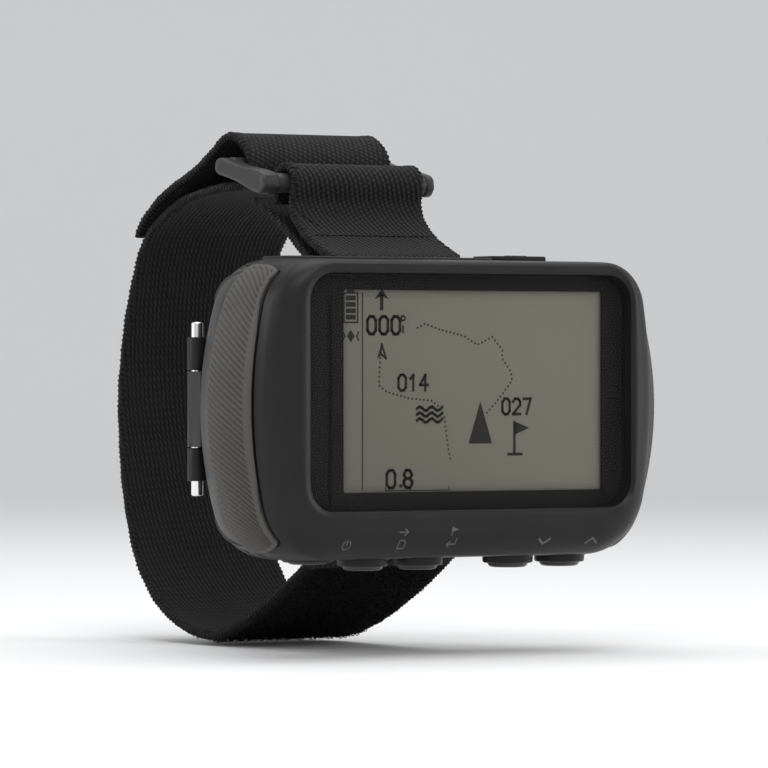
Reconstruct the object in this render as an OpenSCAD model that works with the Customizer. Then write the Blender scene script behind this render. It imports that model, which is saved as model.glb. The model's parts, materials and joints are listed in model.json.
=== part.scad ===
// Wrist-worn aviation GPS on a hook-and-loop strap, in millimetres.
// The origin is on the front face of the window, at mid height of the window.
// +X is to the right as the wearer reads the screen, -Y points out of the screen,
// and +Z is up the screen. The strap loops round the wrist behind the case.

/* [Case] */
// Thickness of the shells' walls
wall = 1.6; // [1.4:0.1:1.8]
// Depth of the plane where the shells meet
split_y = 12.0; // [11.8:0.1:12.2]
// Thickness of the rubber seal between the shells
seal_t = 0.4; // [0.3:0.1:0.5]
// How far the ribbed grips are let into the case
grip_t = 0.8; // [0.6:0.1:1.0]

/* [Window and display] */
// Width of the window glass
window_w = 52.4; // [52:0.1:52.8]
// Height of the window glass
window_h = 31.4; // [31:0.1:31.6]
// Thickness of the window glass
window_t = 1.0; // [0.8:0.1:1.0]
// Width of the part of the display that shows the picture
screen_w = 42.8; // [42:0.1:43]
// Height of the part of the display that shows the picture
screen_h = 27.4; // [27:0.1:27.6]

/* [Keys] */
// Diameter of a key's cap
key_d = 5.6; // [5.2:0.1:5.8]
// Radial clearance between a key and its bore
key_gap = 0.1; // [0.05:0.01:0.1]
// How far a key sinks when it is pressed
key_travel = 0.45; // [0.3:0.05:0.45]
// How far a collar stands out of the case
collar_h = 1.0; // [0.8:0.1:1.2]
// How far a key stands out of its collar
key_h = 0.8; // [0.6:0.1:1.0]

/* [Batteries] */
// Diameter of a cell
cell_d = 10.5; // [10.3:0.1:10.5]
// Length of a cell, with its button
cell_l = 44.5; // [44:0.1:44.5]
// Diameter of a cell's bore
cell_bore = 10.9; // [10.8:0.1:11]

/* [Battery door] */
// Distance of the hinge pin behind the window
pin_y = 19.2; // [19.1:0.1:19.3]
// Diameter of the hinge pin
pin_d = 1.6; // [1.4:0.1:1.6]
// Diameter of the hinge knuckles
knuckle_d = 2.6; // [2.5:0.1:2.7]

/* [Strap] */
// Width of the long strap
strap_w = 24; // [23.5:0.1:24]
// Width of the short strap
short_w = 22; // [21:0.1:22]
// Thickness of both straps
strap_t = 1.6; // [1.4:0.1:1.6]
// Diameter of the two bars of the ring
ring_bar_d = 2.9; // [2.6:0.1:3]
// Width of the ring
ring_w = 29.0; // [28.9:0.1:29.4]
// Diameter of the steel bars that hold the straps to the case
strap_bar_d = 2.0; // [1.8:0.1:2]

/* [Hidden] */
$fn = 48;
e = 0.01;

// Case outline at a few depths: depth, half width, top, bottom, corner radius, side bow
front_stations = [
    [-1.2, 28.0, 17.4, -17.4, 6.0, 0.6],
    [0.6, 31.0, 17.8, -21.4, 7.5, 1.2],
    [3.0, 32.7, 18.0, -22.6, 8.5, 1.6],
    [7.5, 36.5, 18.1, -22.8, 9.5, 3.2],
    [split_y, 35.0, 18.1, -22.8, 9.0, 2.3]];
back_stations = [
    [split_y, 35.0, 18.1, -22.8, 9.0, 2.3],
    [17.6, 32.0, 17.6, -22.3, 8.5, 2.0],
    [20.6, 28.5, 15.8, -20.4, 8.0, 1.6],
    [21.8, 26.0, 14.0, -18.4, 7.5, 1.2]];
all_stations = concat(front_stations, [for (i = [1:3]) back_stations[i]]);
case_cz = -2.35;          // mid height of the case
end_x = -28.3;            // where the case ends and the battery door begins
door_gap = 0.3;           // thickness of the door's seal
grip_y = [3.0, 11.6];     // front and back edges of the ribbed grips
grip_x = 27.8;            // how far round the corners the grips reach
door_back = 17.6;         // back edge of the door
window_x = 0.5;           // middle of the window
screen_x = 1.7;           // middle of the picture
back_wall_y = 20.4;       // inside of the case's back

glass_back = window_t;
mask_t = 0.1;
glue_t = 0.2;
ledge_y = glass_back + mask_t + glue_t;
lcd_t = 1.8;
backlight_t = 1.5;
cavity_y = 2.2;           // where the hollow of the front shell begins
board_y = 4.9;
board_t = 1.0;
board_back = board_y + board_t;
lcd_w = screen_w + 3.6;
lcd_h = screen_h + 2.0;

key_names = ["power", "page", "enter", "down", "up"];
key_xs = [-20.8, -11.9, -2.9, 12.3, 21.1];
key_y = 8.2;
case_bottom = -22.8;
flush_h = 0.3;            // the power key and its collar are lower than the others
flange_top = -20.4;
flange_d = 6.3;            // stop flange inside the case
flange_t = 0.5;
stem_d = 2.0;
stem_top = -18.85;
membrane_z = -19.8;
switch_z = -18.2;

cell_y = 12.3;
cell_zs = [case_cz - 5.6, case_cz + 5.6];
cell_x = -28.2;           // the cells' ends at the door
tube_x = [end_x + wall, 20.0];
tube_y = [6.15, 18.6];
tube_z = [case_cz - 11.8, case_cz + 11.8];

pin_x = -31.6;
pin_l = 23.7;
stack_l = 19.6;           // length of the three knuckles together
middle_l = 10.6;
knuckle_gap = 0.15;

screw_spots = [[-25.2, -17.2], [27.0, -16.6], [-24.0, 13.4], [26.6, 13.4]];
screw_d = 1.6;
boss_d = 4.2;
head_d = 3.0;
head_y = 17.3;            // seat of the screw heads
head_t = 0.8;

pad_y = 13.2;             // front of the raised pad on top of the case
pad_top = 18.6;
pad_half = 21;
strap_x = 0.3;            // middle of the straps
top_bar = [19.4, 16.9];
low_bar = [19.4, -19.5];
slot_front = 16.3;
slot_floor = 2.9;         // bar centre to the bottom of the strap's slot
lug_wall = 1.4;
ear_w = 1.6;

usb_x = 17.9;
usb_y = 15.3;
usb_size = [7.6, 3.9, 6.5];
usb_top = 17.3;
usb_board_z = 9.8;
cap_axis = [18.5, 18.45];  // where the flap of the socket turns
cap_size = [9.0, 5.4, 0.9];
cap_z = 18.0;             // the flap is sunk into the pad
cap_room = 0.2;

bar_a = [30.1, 29.1];     // ring bar that the short strap holds
bar_b = [40.1, 31.6];     // ring bar that the long strap turns round
ring_sides = [3.0, 1.4];  // widths of the ring's left and right sides
ring_inner = ring_w - ring_sides[0] - ring_sides[1];
bar_gap = 0.1;

// ---------- curves ----------

// Point of an arc about c, at angle a in degrees
function on_arc(c, r, a) = [c[0] + r * cos(a), c[1] + r * sin(a)];

// Points of an arc about c from angle a0 to a1
function arc(c, r, a0, a1, n) = [for (i = [0:n]) on_arc(c, r, a0 + (a1 - a0) * i / n)];

// Catmull-Rom point between b and c
function spline_at(a, b, c, d, t) = 0.5 * (2 * b + (c - a) * t
    + (2 * a - 5 * b + 4 * c - d) * t * t + (3 * b - a - 3 * c + d) * t * t * t);

// Smooth open curve through all the points of p
function smooth(p, n) = concat([for (i = [0:len(p) - 2], k = [0:n - 1])
    spline_at(p[max(i - 1, 0)], p[i], p[i + 1], p[min(i + 2, len(p) - 1)], k / n)],
    [p[len(p) - 1]]);

function unit(v) = v / norm(v);
function turned(v) = [-v[1], v[0]];
function direction(p, i) = unit(p[min(i + 1, len(p) - 1)] - p[max(i - 1, 0)]);

// Outline of a ribbon of thickness t whose middle follows p
function ribbon(p, t) = concat(
    [for (i = [0:len(p) - 1]) p[i] + turned(direction(p, i)) * t / 2],
    [for (i = [len(p) - 1:-1:0]) p[i] - turned(direction(p, i)) * t / 2]);

// ---------- shared shapes ----------

// Outline of one station, inset by d: bowed sides and round corners
function station_points(s, d) =
    let (hw = s[1] - d, hh = (s[2] - s[3]) / 2 - d, r = s[4] - d * 0.5, bow = s[5],
        c = [hw - bow - r, hh - r])
    concat(arc([c[0], c[1]], r, 90, 0, 6),
        [for (k = [3:-1:-3]) [hw - bow * k * k / 16, k * c[1] / 4]],
        arc([c[0], -c[1]], r, 0, -90, 6),
        arc([-c[0], -c[1]], r, -90, -180, 6),
        [for (k = [-3:3]) [bow * k * k / 16 - hw, k * c[1] / 4]],
        arc([-c[0], c[1]], r, 180, 90, 6));

module station_outline(s, d) {
    translate([0, (s[2] + s[3]) / 2])
        polygon(station_points(s, d));
}

// Solid of the whole case outline, inset by d
module case_form(stations, d) {
    hull()
        for (s = stations)
            translate([0, s[0], 0])
                rotate([90, 0, 0])
                    linear_extrude(e)
                        station_outline(s, d);
}

// Box given by its low and high corners
module span(low, high) {
    translate(low)
        cube(high - low);
}

// Rounded rectangle in the XZ plane, y0 to y1
module plate(x, z, w, h, r, y0, y1) {
    translate([x, y1, z])
        rotate([90, 0, 0])
            linear_extrude(y1 - y0)
                union() {
                    square([w - 2 * r, h], center = true);
                    square([w, h - 2 * r], center = true);
                    for (sx = [-1, 1], sz = [-1, 1])
                        translate([sx * (w / 2 - r), sz * (h / 2 - r)])
                            circle(r);
                }
}

// Cylinder along X from x0 to x1
module rod_x(y, z, d, x0, x1) {
    translate([x0, y, z])
        rotate([0, 90, 0])
            cylinder(d = d, h = x1 - x0);
}

// Cylinder along Y from y0 to y1
module rod_y(x, z, d, y0, y1) {
    translate([x, y0, z])
        rotate([-90, 0, 0])
            cylinder(d = d, h = y1 - y0);
}

// Cylinder along Z from z0 to z1
module rod_z(x, y, d, z0, z1) {
    translate([x, y, z0])
        cylinder(d = d, h = z1 - z0);
}

// Band that the grip of one side covers
module grip_side(side) {
    translate([side * (grip_x + 10), (grip_y[0] + grip_y[1]) / 2, case_cz])
        cube([20, grip_y[1] - grip_y[0], 60], center = true);
}

module grip_band() {
    grip_side(-1);
    grip_side(1);
}

// Outside of the case with the grips' seats let in
module case_skin(stations) {
    difference() {
        case_form(stations, 0);
        grip_band();
    }
    intersection() {
        case_form(stations, grip_t);
        grip_band();
    }
}

module cell_bores(x0, x1) {
    for (z = cell_zs)
        rod_x(cell_y, z, cell_bore, x0, x1);
}

// Rubber grip of one side: what lies between the outline and the seat
module grip(side) {
    color("#57534e")
        intersection() {
            difference() {
                case_form(all_stations, 0);
                case_form(all_stations, grip_t);
            }
            grip_side(side);
        }
}

// ---------- case ----------

// Screw boss of the front shell, with the rib that ties it to the nearer long wall
module front_boss(p) {
    wall_z = p[1] > case_cz ? 17.2 : case_bottom + 1;
    rod_y(p[0], p[1], boss_d, board_back, split_y);
    span([p[0] - 0.8, board_back, min(p[1], wall_z)], [p[0] + 0.8, split_y, max(p[1], wall_z)]);
}

module front_shell() {
    color("#262626")
        difference() {
            union() {
                difference() {
                    case_skin(front_stations);
                    // inside
                    intersection() {
                        case_form(front_stations, wall);
                        span([end_x + wall, cavity_y, -40], [40, split_y + 1, 40]);
                    }
                    // room for the battery door
                    span([-50, grip_y[0], -40], [end_x, split_y + 1, 40]);
                }
                for (i = [1:4])
                    rod_z(key_xs[i], key_y, key_d + 1.4, case_bottom - collar_h, case_bottom + 1);
                rod_z(key_xs[0], key_y, key_d + 1.4, case_bottom - flush_h, case_bottom + 1);
                for (p = screw_spots)
                    front_boss(p);
            }
            span([-50, split_y - seal_t / 2, -40], [50, split_y + 5, 40]);
            plate(window_x, 0, window_w + 0.4, window_h + 0.4, 3.7, -3, ledge_y);
            plate(screen_x, 0.1, lcd_w + 0.4, lcd_h + 0.4, 0.5, ledge_y - 1, cavity_y + 1);
            cell_bores(end_x - 1, tube_x[0] + e);
            for (x = key_xs) {
                rod_z(x, key_y, key_d + 2 * key_gap, case_bottom - 3, case_bottom + 3);
                rod_z(x, key_y, flange_d + 0.8, flange_top - flange_t - 0.3, flange_top + 2);
            }
            for (p = screw_spots)
                rod_y(p[0], p[1], screw_d, board_back + 0.8, split_y);
        }
}

// Block that carries one strap bar, from the front wall of its slot to the case's back
module strap_lug(bar, w, up) {
    outer = up > 0 ? pad_top : case_bottom + 0.1;
    inner = bar[1] - up * (slot_floor + lug_wall);
    span([strap_x - w / 2 - 0.6 - ear_w, slot_front - lug_wall, min(inner, outer)],
        [strap_x + w / 2 + 0.6 + ear_w, bar[0] + 1.8, max(inner, outer)]);
}

// Slot that the strap's loop turns in
module strap_slot(bar, w, up) {
    floor_z = bar[1] - up * slot_floor;
    span([strap_x - w / 2 - 0.6, slot_front, min(floor_z, up * 40)],
        [strap_x + w / 2 + 0.6, 40, max(floor_z, up * 40)]);
}

module back_shell() {
    color("#242424")
        difference() {
            union() {
                difference() {
                    case_form(back_stations, 0);
                    intersection() {
                        case_form(back_stations, wall);
                        span([end_x + wall, 0, -40], [40, back_wall_y, 40]);
                    }
                    span([-50, 0, -40], [end_x, 30, 40]);
                }
                // raised pad with the strap's and the socket's openings
                difference() {
                    span([-pad_half, pad_y, 15.6], [pad_half, 19.6, pad_top]);
                    span([-pad_half - 1, pad_y - 1, 10], [pad_half + 1, 19.6 - wall, 17.0]);
                }
                strap_lug(top_bar, short_w, 1);
                strap_lug(low_bar, strap_w, -1);
                for (p = screw_spots)
                    rod_y(p[0], p[1], boss_d, split_y, head_y + 0.5);
                // outer knuckles and the ears that carry them
                for (s = [-1, 1])
                    translate([0, 0, case_cz + s * (stack_l / 2 + middle_l / 2) / 2]) {
                        translate([pin_x, pin_y, 0])
                            cylinder(d = knuckle_d, h = (stack_l - middle_l) / 2, center = true);
                        translate([(pin_x + end_x + 1) / 2, pin_y, 0])
                            cube([end_x + 1 - pin_x, knuckle_d - 0.2, (stack_l - middle_l) / 2],
                                center = true);
                    }
            }
            span([-50, -5, -40], [50, split_y + seal_t / 2, 40]);
            cell_bores(end_x - 1, tube_x[0] + e);
            strap_slot(top_bar, short_w, 1);
            strap_slot(low_bar, strap_w, -1);
            rod_x(top_bar[0], top_bar[1], strap_bar_d, -20, 20);
            rod_x(low_bar[0], low_bar[1], strap_bar_d, -20, 20);
            rod_z(pin_x, pin_y, pin_d, -30, 30);
            for (p = screw_spots) {
                rod_y(p[0], p[1], screw_d + 0.2, split_y, 30);
                rod_y(p[0], p[1], head_d + 0.2, head_y, 30);
            }
            translate([usb_x, usb_y, usb_top])
                cube([usb_size[0] + 1, usb_size[1] + 1, 4], center = true);
            // seat of the socket's flap
            span([usb_x - cap_size[0] / 2 - cap_room, pad_y - 1, cap_z - 0.05],
                [usb_x + cap_size[0] / 2 + cap_room, cap_axis[0] + 0.7, 30]);
        }
}

module case_gasket() {
    color("#151515")
        translate([0, split_y + seal_t / 2, 0])
            rotate([90, 0, 0])
                linear_extrude(seal_t)
                    intersection() {
                        difference() {
                            station_outline(back_stations[0], 0.15);
                            station_outline(back_stations[0], wall);
                            translate([-60, -40])
                                square([60 + end_x + wall, 80]);
                        }
                        translate([end_x + wall, -40])
                            square([80, 80]);
                    }
}

module grip_right() {
    grip(1);
}

module case_screws() {
    color("silver")
        for (p = screw_spots)
            difference() {
                union() {
                    rod_y(p[0], p[1], screw_d, 8.4, head_y + 0.1);
                    rod_y(p[0], p[1], head_d, head_y, head_y + head_t);
                }
                for (a = [0, 90])
                    translate([p[0], head_y + head_t, p[1]])
                        rotate([0, a, 0])
                            cube([1.8, 0.9, 0.4], center = true);
            }
}

// ---------- window and display ----------

module window_glass() {
    color("#9aa39c", 0.4)
        plate(window_x, 0, window_w, window_h, 3.5, 0, glass_back);
}

module window_mask() {
    color("#2d2d2e")
        difference() {
            plate(window_x, 0, window_w, window_h, 3.5, glass_back, glass_back + mask_t);
            plate(screen_x, 0.1, screen_w, screen_h, 0.4, glass_back - 1, glass_back + 1);
        }
}

module window_adhesive() {
    color("#1d1d1d")
        difference() {
            plate(window_x, 0, window_w, window_h, 3.5, glass_back + mask_t, ledge_y);
            plate(screen_x, 0.1, lcd_w + 0.4, lcd_h + 0.4, 0.5, 0, ledge_y + 1);
        }
}

module lcd_panel() {
    color("#736e62")
        plate(screen_x, 0.1, lcd_w, lcd_h, 0.3, ledge_y, ledge_y + lcd_t);
}

module lcd_backlight() {
    color("#e8e8e4")
        plate(screen_x, 0.1, lcd_w + 1.6, lcd_h + 1.6, 0.8, ledge_y + lcd_t,
            ledge_y + lcd_t + backlight_t);
}

module lcd_connector() {
    color("#c8a64a")
        span([screen_x - 18, ledge_y + lcd_t + 0.1, -18.2], [screen_x + 18, board_y, -16.2]);
}

// ---------- board ----------

module main_board() {
    color("#1f5a34")
        plate(1.2, -1.9, 55.0, 34.2, 6.0, board_y, board_back);
}

module board_chips() {
    color("#1a1a1c") {
        span([-20, board_back, 10.6], [-10.5, board_back + 1, 15.0]);
        span([-7, board_back, 10.6], [3, board_back + 1, 15.0]);
        span([6, board_back, 11.0], [10, board_back + 0.8, 14.6]);
    }
}

module rf_shield() {
    color("#b9bcc0")
        span([20.6, board_back, -0.8], [28.4, board_back + 2.4, 10.6]);
}

module gps_antenna() {
    color("#b98f5f")
        difference() {
            span([20.8, board_back + 2.4, 0], [28.2, board_back + 6.4, 9.2]);
            rod_y(24.6, 5.6, 1.0, 10, 14);
        }
}

module buzzer() {
    color("#26262a")
        difference() {
            rod_y(24.4, -8.0, 8.0, board_back, board_back + 3.0);
            rod_y(24.4, -8.0, 1.6, board_back + 2.0, board_back + 4);
        }
}

module key_switches() {
    for (x = key_xs) {
        color("#d8d8d8")
            span([x - 2.0, board_back, switch_z], [x + 2.0, key_y + 1.6, switch_z + 3]);
        color("#222222")
            rod_z(x, key_y, 1.4, stem_top + key_travel + 0.05, switch_z);
    }
}

module key_membrane() {
    color("#3a3a3a")
        difference() {
            span([-23.9, board_back + 0.05, membrane_z], [24.6, 10.8, membrane_z + 0.5]);
            for (x = key_xs)
                rod_z(x, key_y, stem_d + 0.2, membrane_z - 1, membrane_z + 1);
        }
}

module key(x, cap_bottom) {
    color("#3b3b3e")
        union() {
            rod_z(x, key_y, key_d, cap_bottom + 0.3, flange_top - flange_t / 2);
            rod_z(x, key_y, key_d - 0.6, cap_bottom, cap_bottom + 0.4);
            rod_z(x, key_y, flange_d, flange_top - flange_t, flange_top);
            rod_z(x, key_y, stem_d, flange_top - 0.1, stem_top);
        }
}

module power_button() {
    key(key_xs[0], case_bottom - 2 * flush_h);
}

module page_button() {
    key(key_xs[1], case_bottom - collar_h - key_h);
}

module enter_button() {
    key(key_xs[2], case_bottom - collar_h - key_h);
}

module down_button() {
    key(key_xs[3], case_bottom - collar_h - key_h);
}

module up_button() {
    key(key_xs[4], case_bottom - collar_h - key_h);
}

// ---------- batteries and their door ----------

module battery_tube() {
    color("#2c2c2e")
        difference() {
            span([tube_x[0], tube_y[0], tube_z[0]], [tube_x[1], tube_y[1], tube_z[1]]);
            cell_bores(tube_x[0] - 1, tube_x[1] - 0.9);
        }
}

module cell(z, flip) {
    translate([cell_x + cell_l / 2, cell_y, z])
        rotate([0, flip, 0]) {
            color("#b07a3a")
                rod_x(0, 0, cell_d, -cell_l / 2, cell_l / 2 - 1.0);
            color("silver")
                rod_x(0, 0, 3.6, cell_l / 2 - 1.1, cell_l / 2);
        }
}

module battery_upper() {
    cell(cell_zs[1], 0);
}

module battery_lower() {
    cell(cell_zs[0], 180);
}

// Two bent leaf springs that push the cells to the door
module inner_contacts() {
    leaf = [[18.7, 8.8], [18.8, 15.8], [17.0, 13.4], [16.6, 12.3], [17.0, 11.2]];
    color("#c9c9c4")
        for (z = cell_zs)
            translate([0, 0, z - 1.6])
                linear_extrude(3.2)
                    polygon(ribbon(smooth(leaf, 6), 0.25));
}

module battery_door() {
    color("#2e2e2f")
        difference() {
            union() {
                difference() {
                    intersection() {
                        case_skin(all_stations);
                        span([-50, grip_y[0] + door_gap, -40], [end_x - door_gap, door_back, 40]);
                    }
                    // hollow behind the flange, and the flange's opening
                    intersection() {
                        case_form(all_stations, grip_t + 1.3);
                        span([-50, 4.8, -40], [end_x - 1.5, door_back - 1.3, 40]);
                    }
                    span([end_x - 3, 7.2, tube_z[0] + 0.2], [end_x + 1, 16.3, tube_z[1] - 0.2]);
                }
                // ribs that carry the contact
                intersection() {
                    case_form(all_stations, grip_t + 0.6);
                    for (z = [case_cz - 8, case_cz, case_cz + 8])
                        span([-50, 4.6, z - 0.6], [end_x - 1.1, 16.8, z + 0.6]);
                }
                // middle knuckle
                rod_z(pin_x, pin_y, knuckle_d, case_cz - middle_l / 2 + knuckle_gap,
                    case_cz + middle_l / 2 - knuckle_gap);
                span([pin_x - knuckle_d / 2, door_back - 1.4, case_cz - middle_l / 2 + knuckle_gap],
                    [pin_x + 1.2, pin_y, case_cz + middle_l / 2 - knuckle_gap]);
            }
            rod_z(pin_x, pin_y, pin_d + 0.1, -30, 30);
            // clearance round the outer knuckles
            for (s = [-1, 1])
                translate([pin_x, pin_y, case_cz + s * (stack_l / 2 + middle_l / 2) / 2])
                    cylinder(d = knuckle_d + 0.8, h = (stack_l - middle_l) / 2 + 0.6, center = true);
            // front corner eased so that it swings clear of the case
            span([-32.0, grip_y[0] - 1, -40], [end_x + 1, grip_y[0] + 0.75, 40]);
        }
}

module grip_left() {
    difference() {
        grip(-1);
        color("#57534e")
            span([-32.0, grip_y[0] - 1, -40], [-20, grip_y[0] + 0.75, 40]);
        color("#57534e")
            span([end_x - door_gap, 0, -40], [0, 30, 40]);
        color("#57534e")
            span([-50, 0, -40], [0, grip_y[0] + door_gap, 40]);
    }
}

module door_seal() {
    color("#151515")
        difference() {
            span([end_x - door_gap, 4.6, tube_z[0] - 1.4], [end_x, 17.4, tube_z[1] + 1.4]);
            span([end_x - 1, 6.2, tube_z[0] + 0.2], [end_x + 1, 16.3, tube_z[1] - 0.2]);
        }
}

module door_contact() {
    color("#c9c9c4") {
        span([end_x - 1.1, 8.6, tube_z[0] + 1.5], [end_x - 0.8, 16.0, tube_z[1] - 1.5]);
        for (z = cell_zs)
            rod_x(cell_y, z, 3.4, end_x - 0.8, end_x - 0.1);
    }
}

module hinge_pin() {
    color("silver")
        rod_z(pin_x, pin_y, pin_d, case_cz - pin_l / 2, case_cz + pin_l / 2);
}

// ---------- socket ----------

module usb_board() {
    color("#1f5a34")
        span([11.0, 11.0, usb_board_z], [23.4, 19.0, usb_board_z + 1]);
}

module usb_socket() {
    color("#b9bcc0")
        difference() {
            translate([usb_x, usb_y, usb_top - usb_size[2] / 2])
                cube(usb_size, center = true);
            translate([usb_x, usb_y, usb_top])
                cube([usb_size[0] - 0.8, usb_size[1] - 0.8, 10.5], center = true);
        }
    color("#1a1a1c")
        translate([usb_x, usb_y, usb_top - 3.5])
            cube([5.4, 0.8, 3.6], center = true);
}

// Flat cable from the main board up to the socket's board
module usb_ribbon() {
    route = [[board_back + 0.15, 13.0], [8.2, 12.6], [9.3, 11.0], [11.2, 10.95], [12.4, 10.95]];
    color("#b5742c")
        translate([12.2, 0, 0])
            rotate([90, 0, 90])
                linear_extrude(6)
                    polygon(ribbon(smooth(route, 6), 0.2));
}

module usb_cap() {
    color("#1c1c1c")
        union() {
            span([usb_x - cap_size[0] / 2, cap_axis[0] - cap_size[1], cap_z],
                [usb_x + cap_size[0] / 2, cap_axis[0], cap_z + cap_size[2]]);
            rod_x(cap_axis[0], cap_axis[1], cap_size[2], usb_x - 2.5, usb_x + 2.5);
            span([usb_x - 3.6, usb_y - 1.9, usb_top + 0.1],
                [usb_x + 3.6, usb_y + 1.9, cap_z + 0.1]);
        }
}

// ---------- straps ----------

module strap_bar(bar, w) {
    color("silver")
        rod_x(bar[0], bar[1], strap_bar_d, strap_x - w / 2 - 0.6 - ear_w, strap_x + w / 2 + 0.6 + ear_w);
}

module upper_strap_bar() {
    strap_bar(top_bar, short_w);
}

module lower_strap_bar() {
    strap_bar(low_bar, strap_w);
}

// A strap of width w whose middle follows a route of depths and heights
module strap(route, w) {
    translate([strap_x - w / 2, 0, 0])
        rotate([90, 0, 90])
            linear_extrude(w)
                polygon(ribbon(route, strap_t));
}

// Outer layer from the ring down to the case, and the tongue that runs back under the ring
module short_strap() {
    turn_r = strap_bar_d / 2 + bar_gap + strap_t / 2;
    ring_r = ring_bar_d / 2 + bar_gap + strap_t / 2;
    route = concat([[32.4, 26.2]],
        arc(bar_a, ring_r, -30, 195, 14),
        smooth([[28.5, 26.6], [27.6, 24.1], [24.6, 21.4], [21.0, 19.5]], 6),
        arc(top_bar, turn_r, 120, 312, 12),
        smooth([[22.3, 17.2], [27.3, 20.8], [31.1, 23.3], [34.6, 25.3], [38.4, 27.1]], 6));
    color("#222222")
        strap(route, short_w);
}

// From the lower bar round the wrist, through the ring and back over itself
module main_strap() {
    turn_r = strap_bar_d / 2 + bar_gap + strap_t / 2;
    sewn_end = smooth([[25.0, -23.1], [23.1, -21.9], [22.0, -20.2]], 6);
    wrist = smooth([[22.6, -23.7], [28.7, -27.3], [35.5, -30.7], [41.8, -33.2], [47.5, -34.7],
        [53.2, -34.2], [58.4, -32.6], [63.4, -29.7], [67.3, -25.6], [69.4, -21.5],
        [71.3, -15.9], [72.6, -7.2], [72.8, -1.5], [72.2, 4.3], [70.9, 9.9],
        [69.1, 15.3], [66.8, 20.0], [63.0, 23.7], [54.8, 27.2], [45.4, 28.6]], 5);
    tail = smooth([[41.0, 28.7], [38.3, 29.5], [37.45, 31.7], [38.2, 33.7], [40.2, 35.5],
        [42.8, 36.3], [45.2, 35.6], [48.0, 33.8], [52.4, 31.6], [58.2, 29.4],
        [62.8, 27.3], [66.6, 24.6], [68.5, 22.4]], 5);
    color("#202020")
        strap(concat(sewn_end, arc(low_bar, turn_r, 30, 239, 13), wrist, tail), strap_w);
}

// Flat plastic ring with two bars, in the plane through both bars
module strap_ring() {
    reach = norm(bar_b - bar_a);
    tilt = atan2(bar_b[1] - bar_a[1], bar_b[0] - bar_a[0]);
    color("#4c4c4c")
        translate([strap_x, bar_a[0], bar_a[1]])
            rotate([tilt, 0, 0]) {
                for (u = [0, reach])
                    rod_x(u, 0, ring_bar_d, -ring_inner / 2 - 1, ring_inner / 2 + 1);
                for (i = [0, 1]) {
                    x0 = i == 0 ? -ring_inner / 2 - ring_sides[0] : ring_inner / 2;
                    span([x0, 0, -ring_bar_d / 2], [x0 + ring_sides[i], reach, ring_bar_d / 2]);
                    for (u = [0, reach])
                        rod_x(u, 0, ring_bar_d, x0, x0 + ring_sides[i]);
                }
            }
}

front_shell();
back_shell();
case_gasket();
window_glass();
window_mask();
window_adhesive();
lcd_panel();
lcd_backlight();
lcd_connector();
main_board();
board_chips();
rf_shield();
gps_antenna();
buzzer();
key_switches();
key_membrane();
power_button();
page_button();
enter_button();
down_button();
up_button();
battery_tube();
battery_upper();
battery_lower();
inner_contacts();
battery_door();
grip_left();
door_seal();
door_contact();
hinge_pin();
grip_right();
case_screws();
usb_board();
usb_socket();
usb_ribbon();
usb_cap();
upper_strap_bar();
lower_strap_bar();
short_strap();
main_strap();
strap_ring();
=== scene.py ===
"""Visual model of a wrist-worn aviation GPS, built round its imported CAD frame.

Sizes are in millimetres in this script and become metres when a mesh is made. The origin is on the
front face of the window, +X runs to the right along the screen, -Y out of the screen and +Z up it.
"""

import json
import logging
import math
from dataclasses import dataclass
from enum import Enum
from typing import Callable, Iterable, Sequence

import bmesh
import bpy
import numpy as np
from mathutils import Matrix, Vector
from mathutils.bvhtree import BVHTree

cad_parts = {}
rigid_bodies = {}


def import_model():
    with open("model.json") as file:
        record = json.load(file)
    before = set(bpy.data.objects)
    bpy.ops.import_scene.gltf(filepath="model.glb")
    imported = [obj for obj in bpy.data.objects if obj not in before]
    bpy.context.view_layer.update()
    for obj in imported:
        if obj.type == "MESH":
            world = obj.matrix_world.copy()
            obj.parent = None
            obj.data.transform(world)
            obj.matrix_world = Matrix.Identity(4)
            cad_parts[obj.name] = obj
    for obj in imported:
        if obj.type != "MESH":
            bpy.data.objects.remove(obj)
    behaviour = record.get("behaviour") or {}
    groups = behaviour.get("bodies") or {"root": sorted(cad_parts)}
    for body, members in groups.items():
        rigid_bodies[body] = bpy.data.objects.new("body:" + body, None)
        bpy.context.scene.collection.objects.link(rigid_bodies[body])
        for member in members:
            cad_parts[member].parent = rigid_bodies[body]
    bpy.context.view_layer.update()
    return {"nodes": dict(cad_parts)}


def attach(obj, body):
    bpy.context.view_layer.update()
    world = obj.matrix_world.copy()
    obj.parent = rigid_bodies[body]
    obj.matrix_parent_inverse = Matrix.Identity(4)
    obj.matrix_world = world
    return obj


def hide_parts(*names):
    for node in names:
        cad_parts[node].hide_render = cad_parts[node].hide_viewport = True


LOG = logging.getLogger("wrist_gps")
MM = 0.001

Curve = np.ndarray
Faces = list[tuple[int, ...]]


class Side(Enum):
    """Left or right end of the case, as the screen is read."""

    LEFT = -1
    RIGHT = 1


# ---------------------------------------------------------------------------
# curves and meshes
# ---------------------------------------------------------------------------


def arc(centre: Sequence[float], radius: float, start: float, end: float, steps: int) -> Curve:
    """Makes the points of an arc.

    Args:
        centre: Middle of the arc.
        radius: Its radius.
        start: First angle in degrees.
        end: Last angle in degrees.
        steps: How many steps lie between the two.

    Returns:
        The points, one row each.
    """
    angles = np.radians(np.linspace(start, end, steps + 1))
    return np.stack([centre[0] + radius * np.cos(angles), centre[1] + radius * np.sin(angles)], 1)


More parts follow.
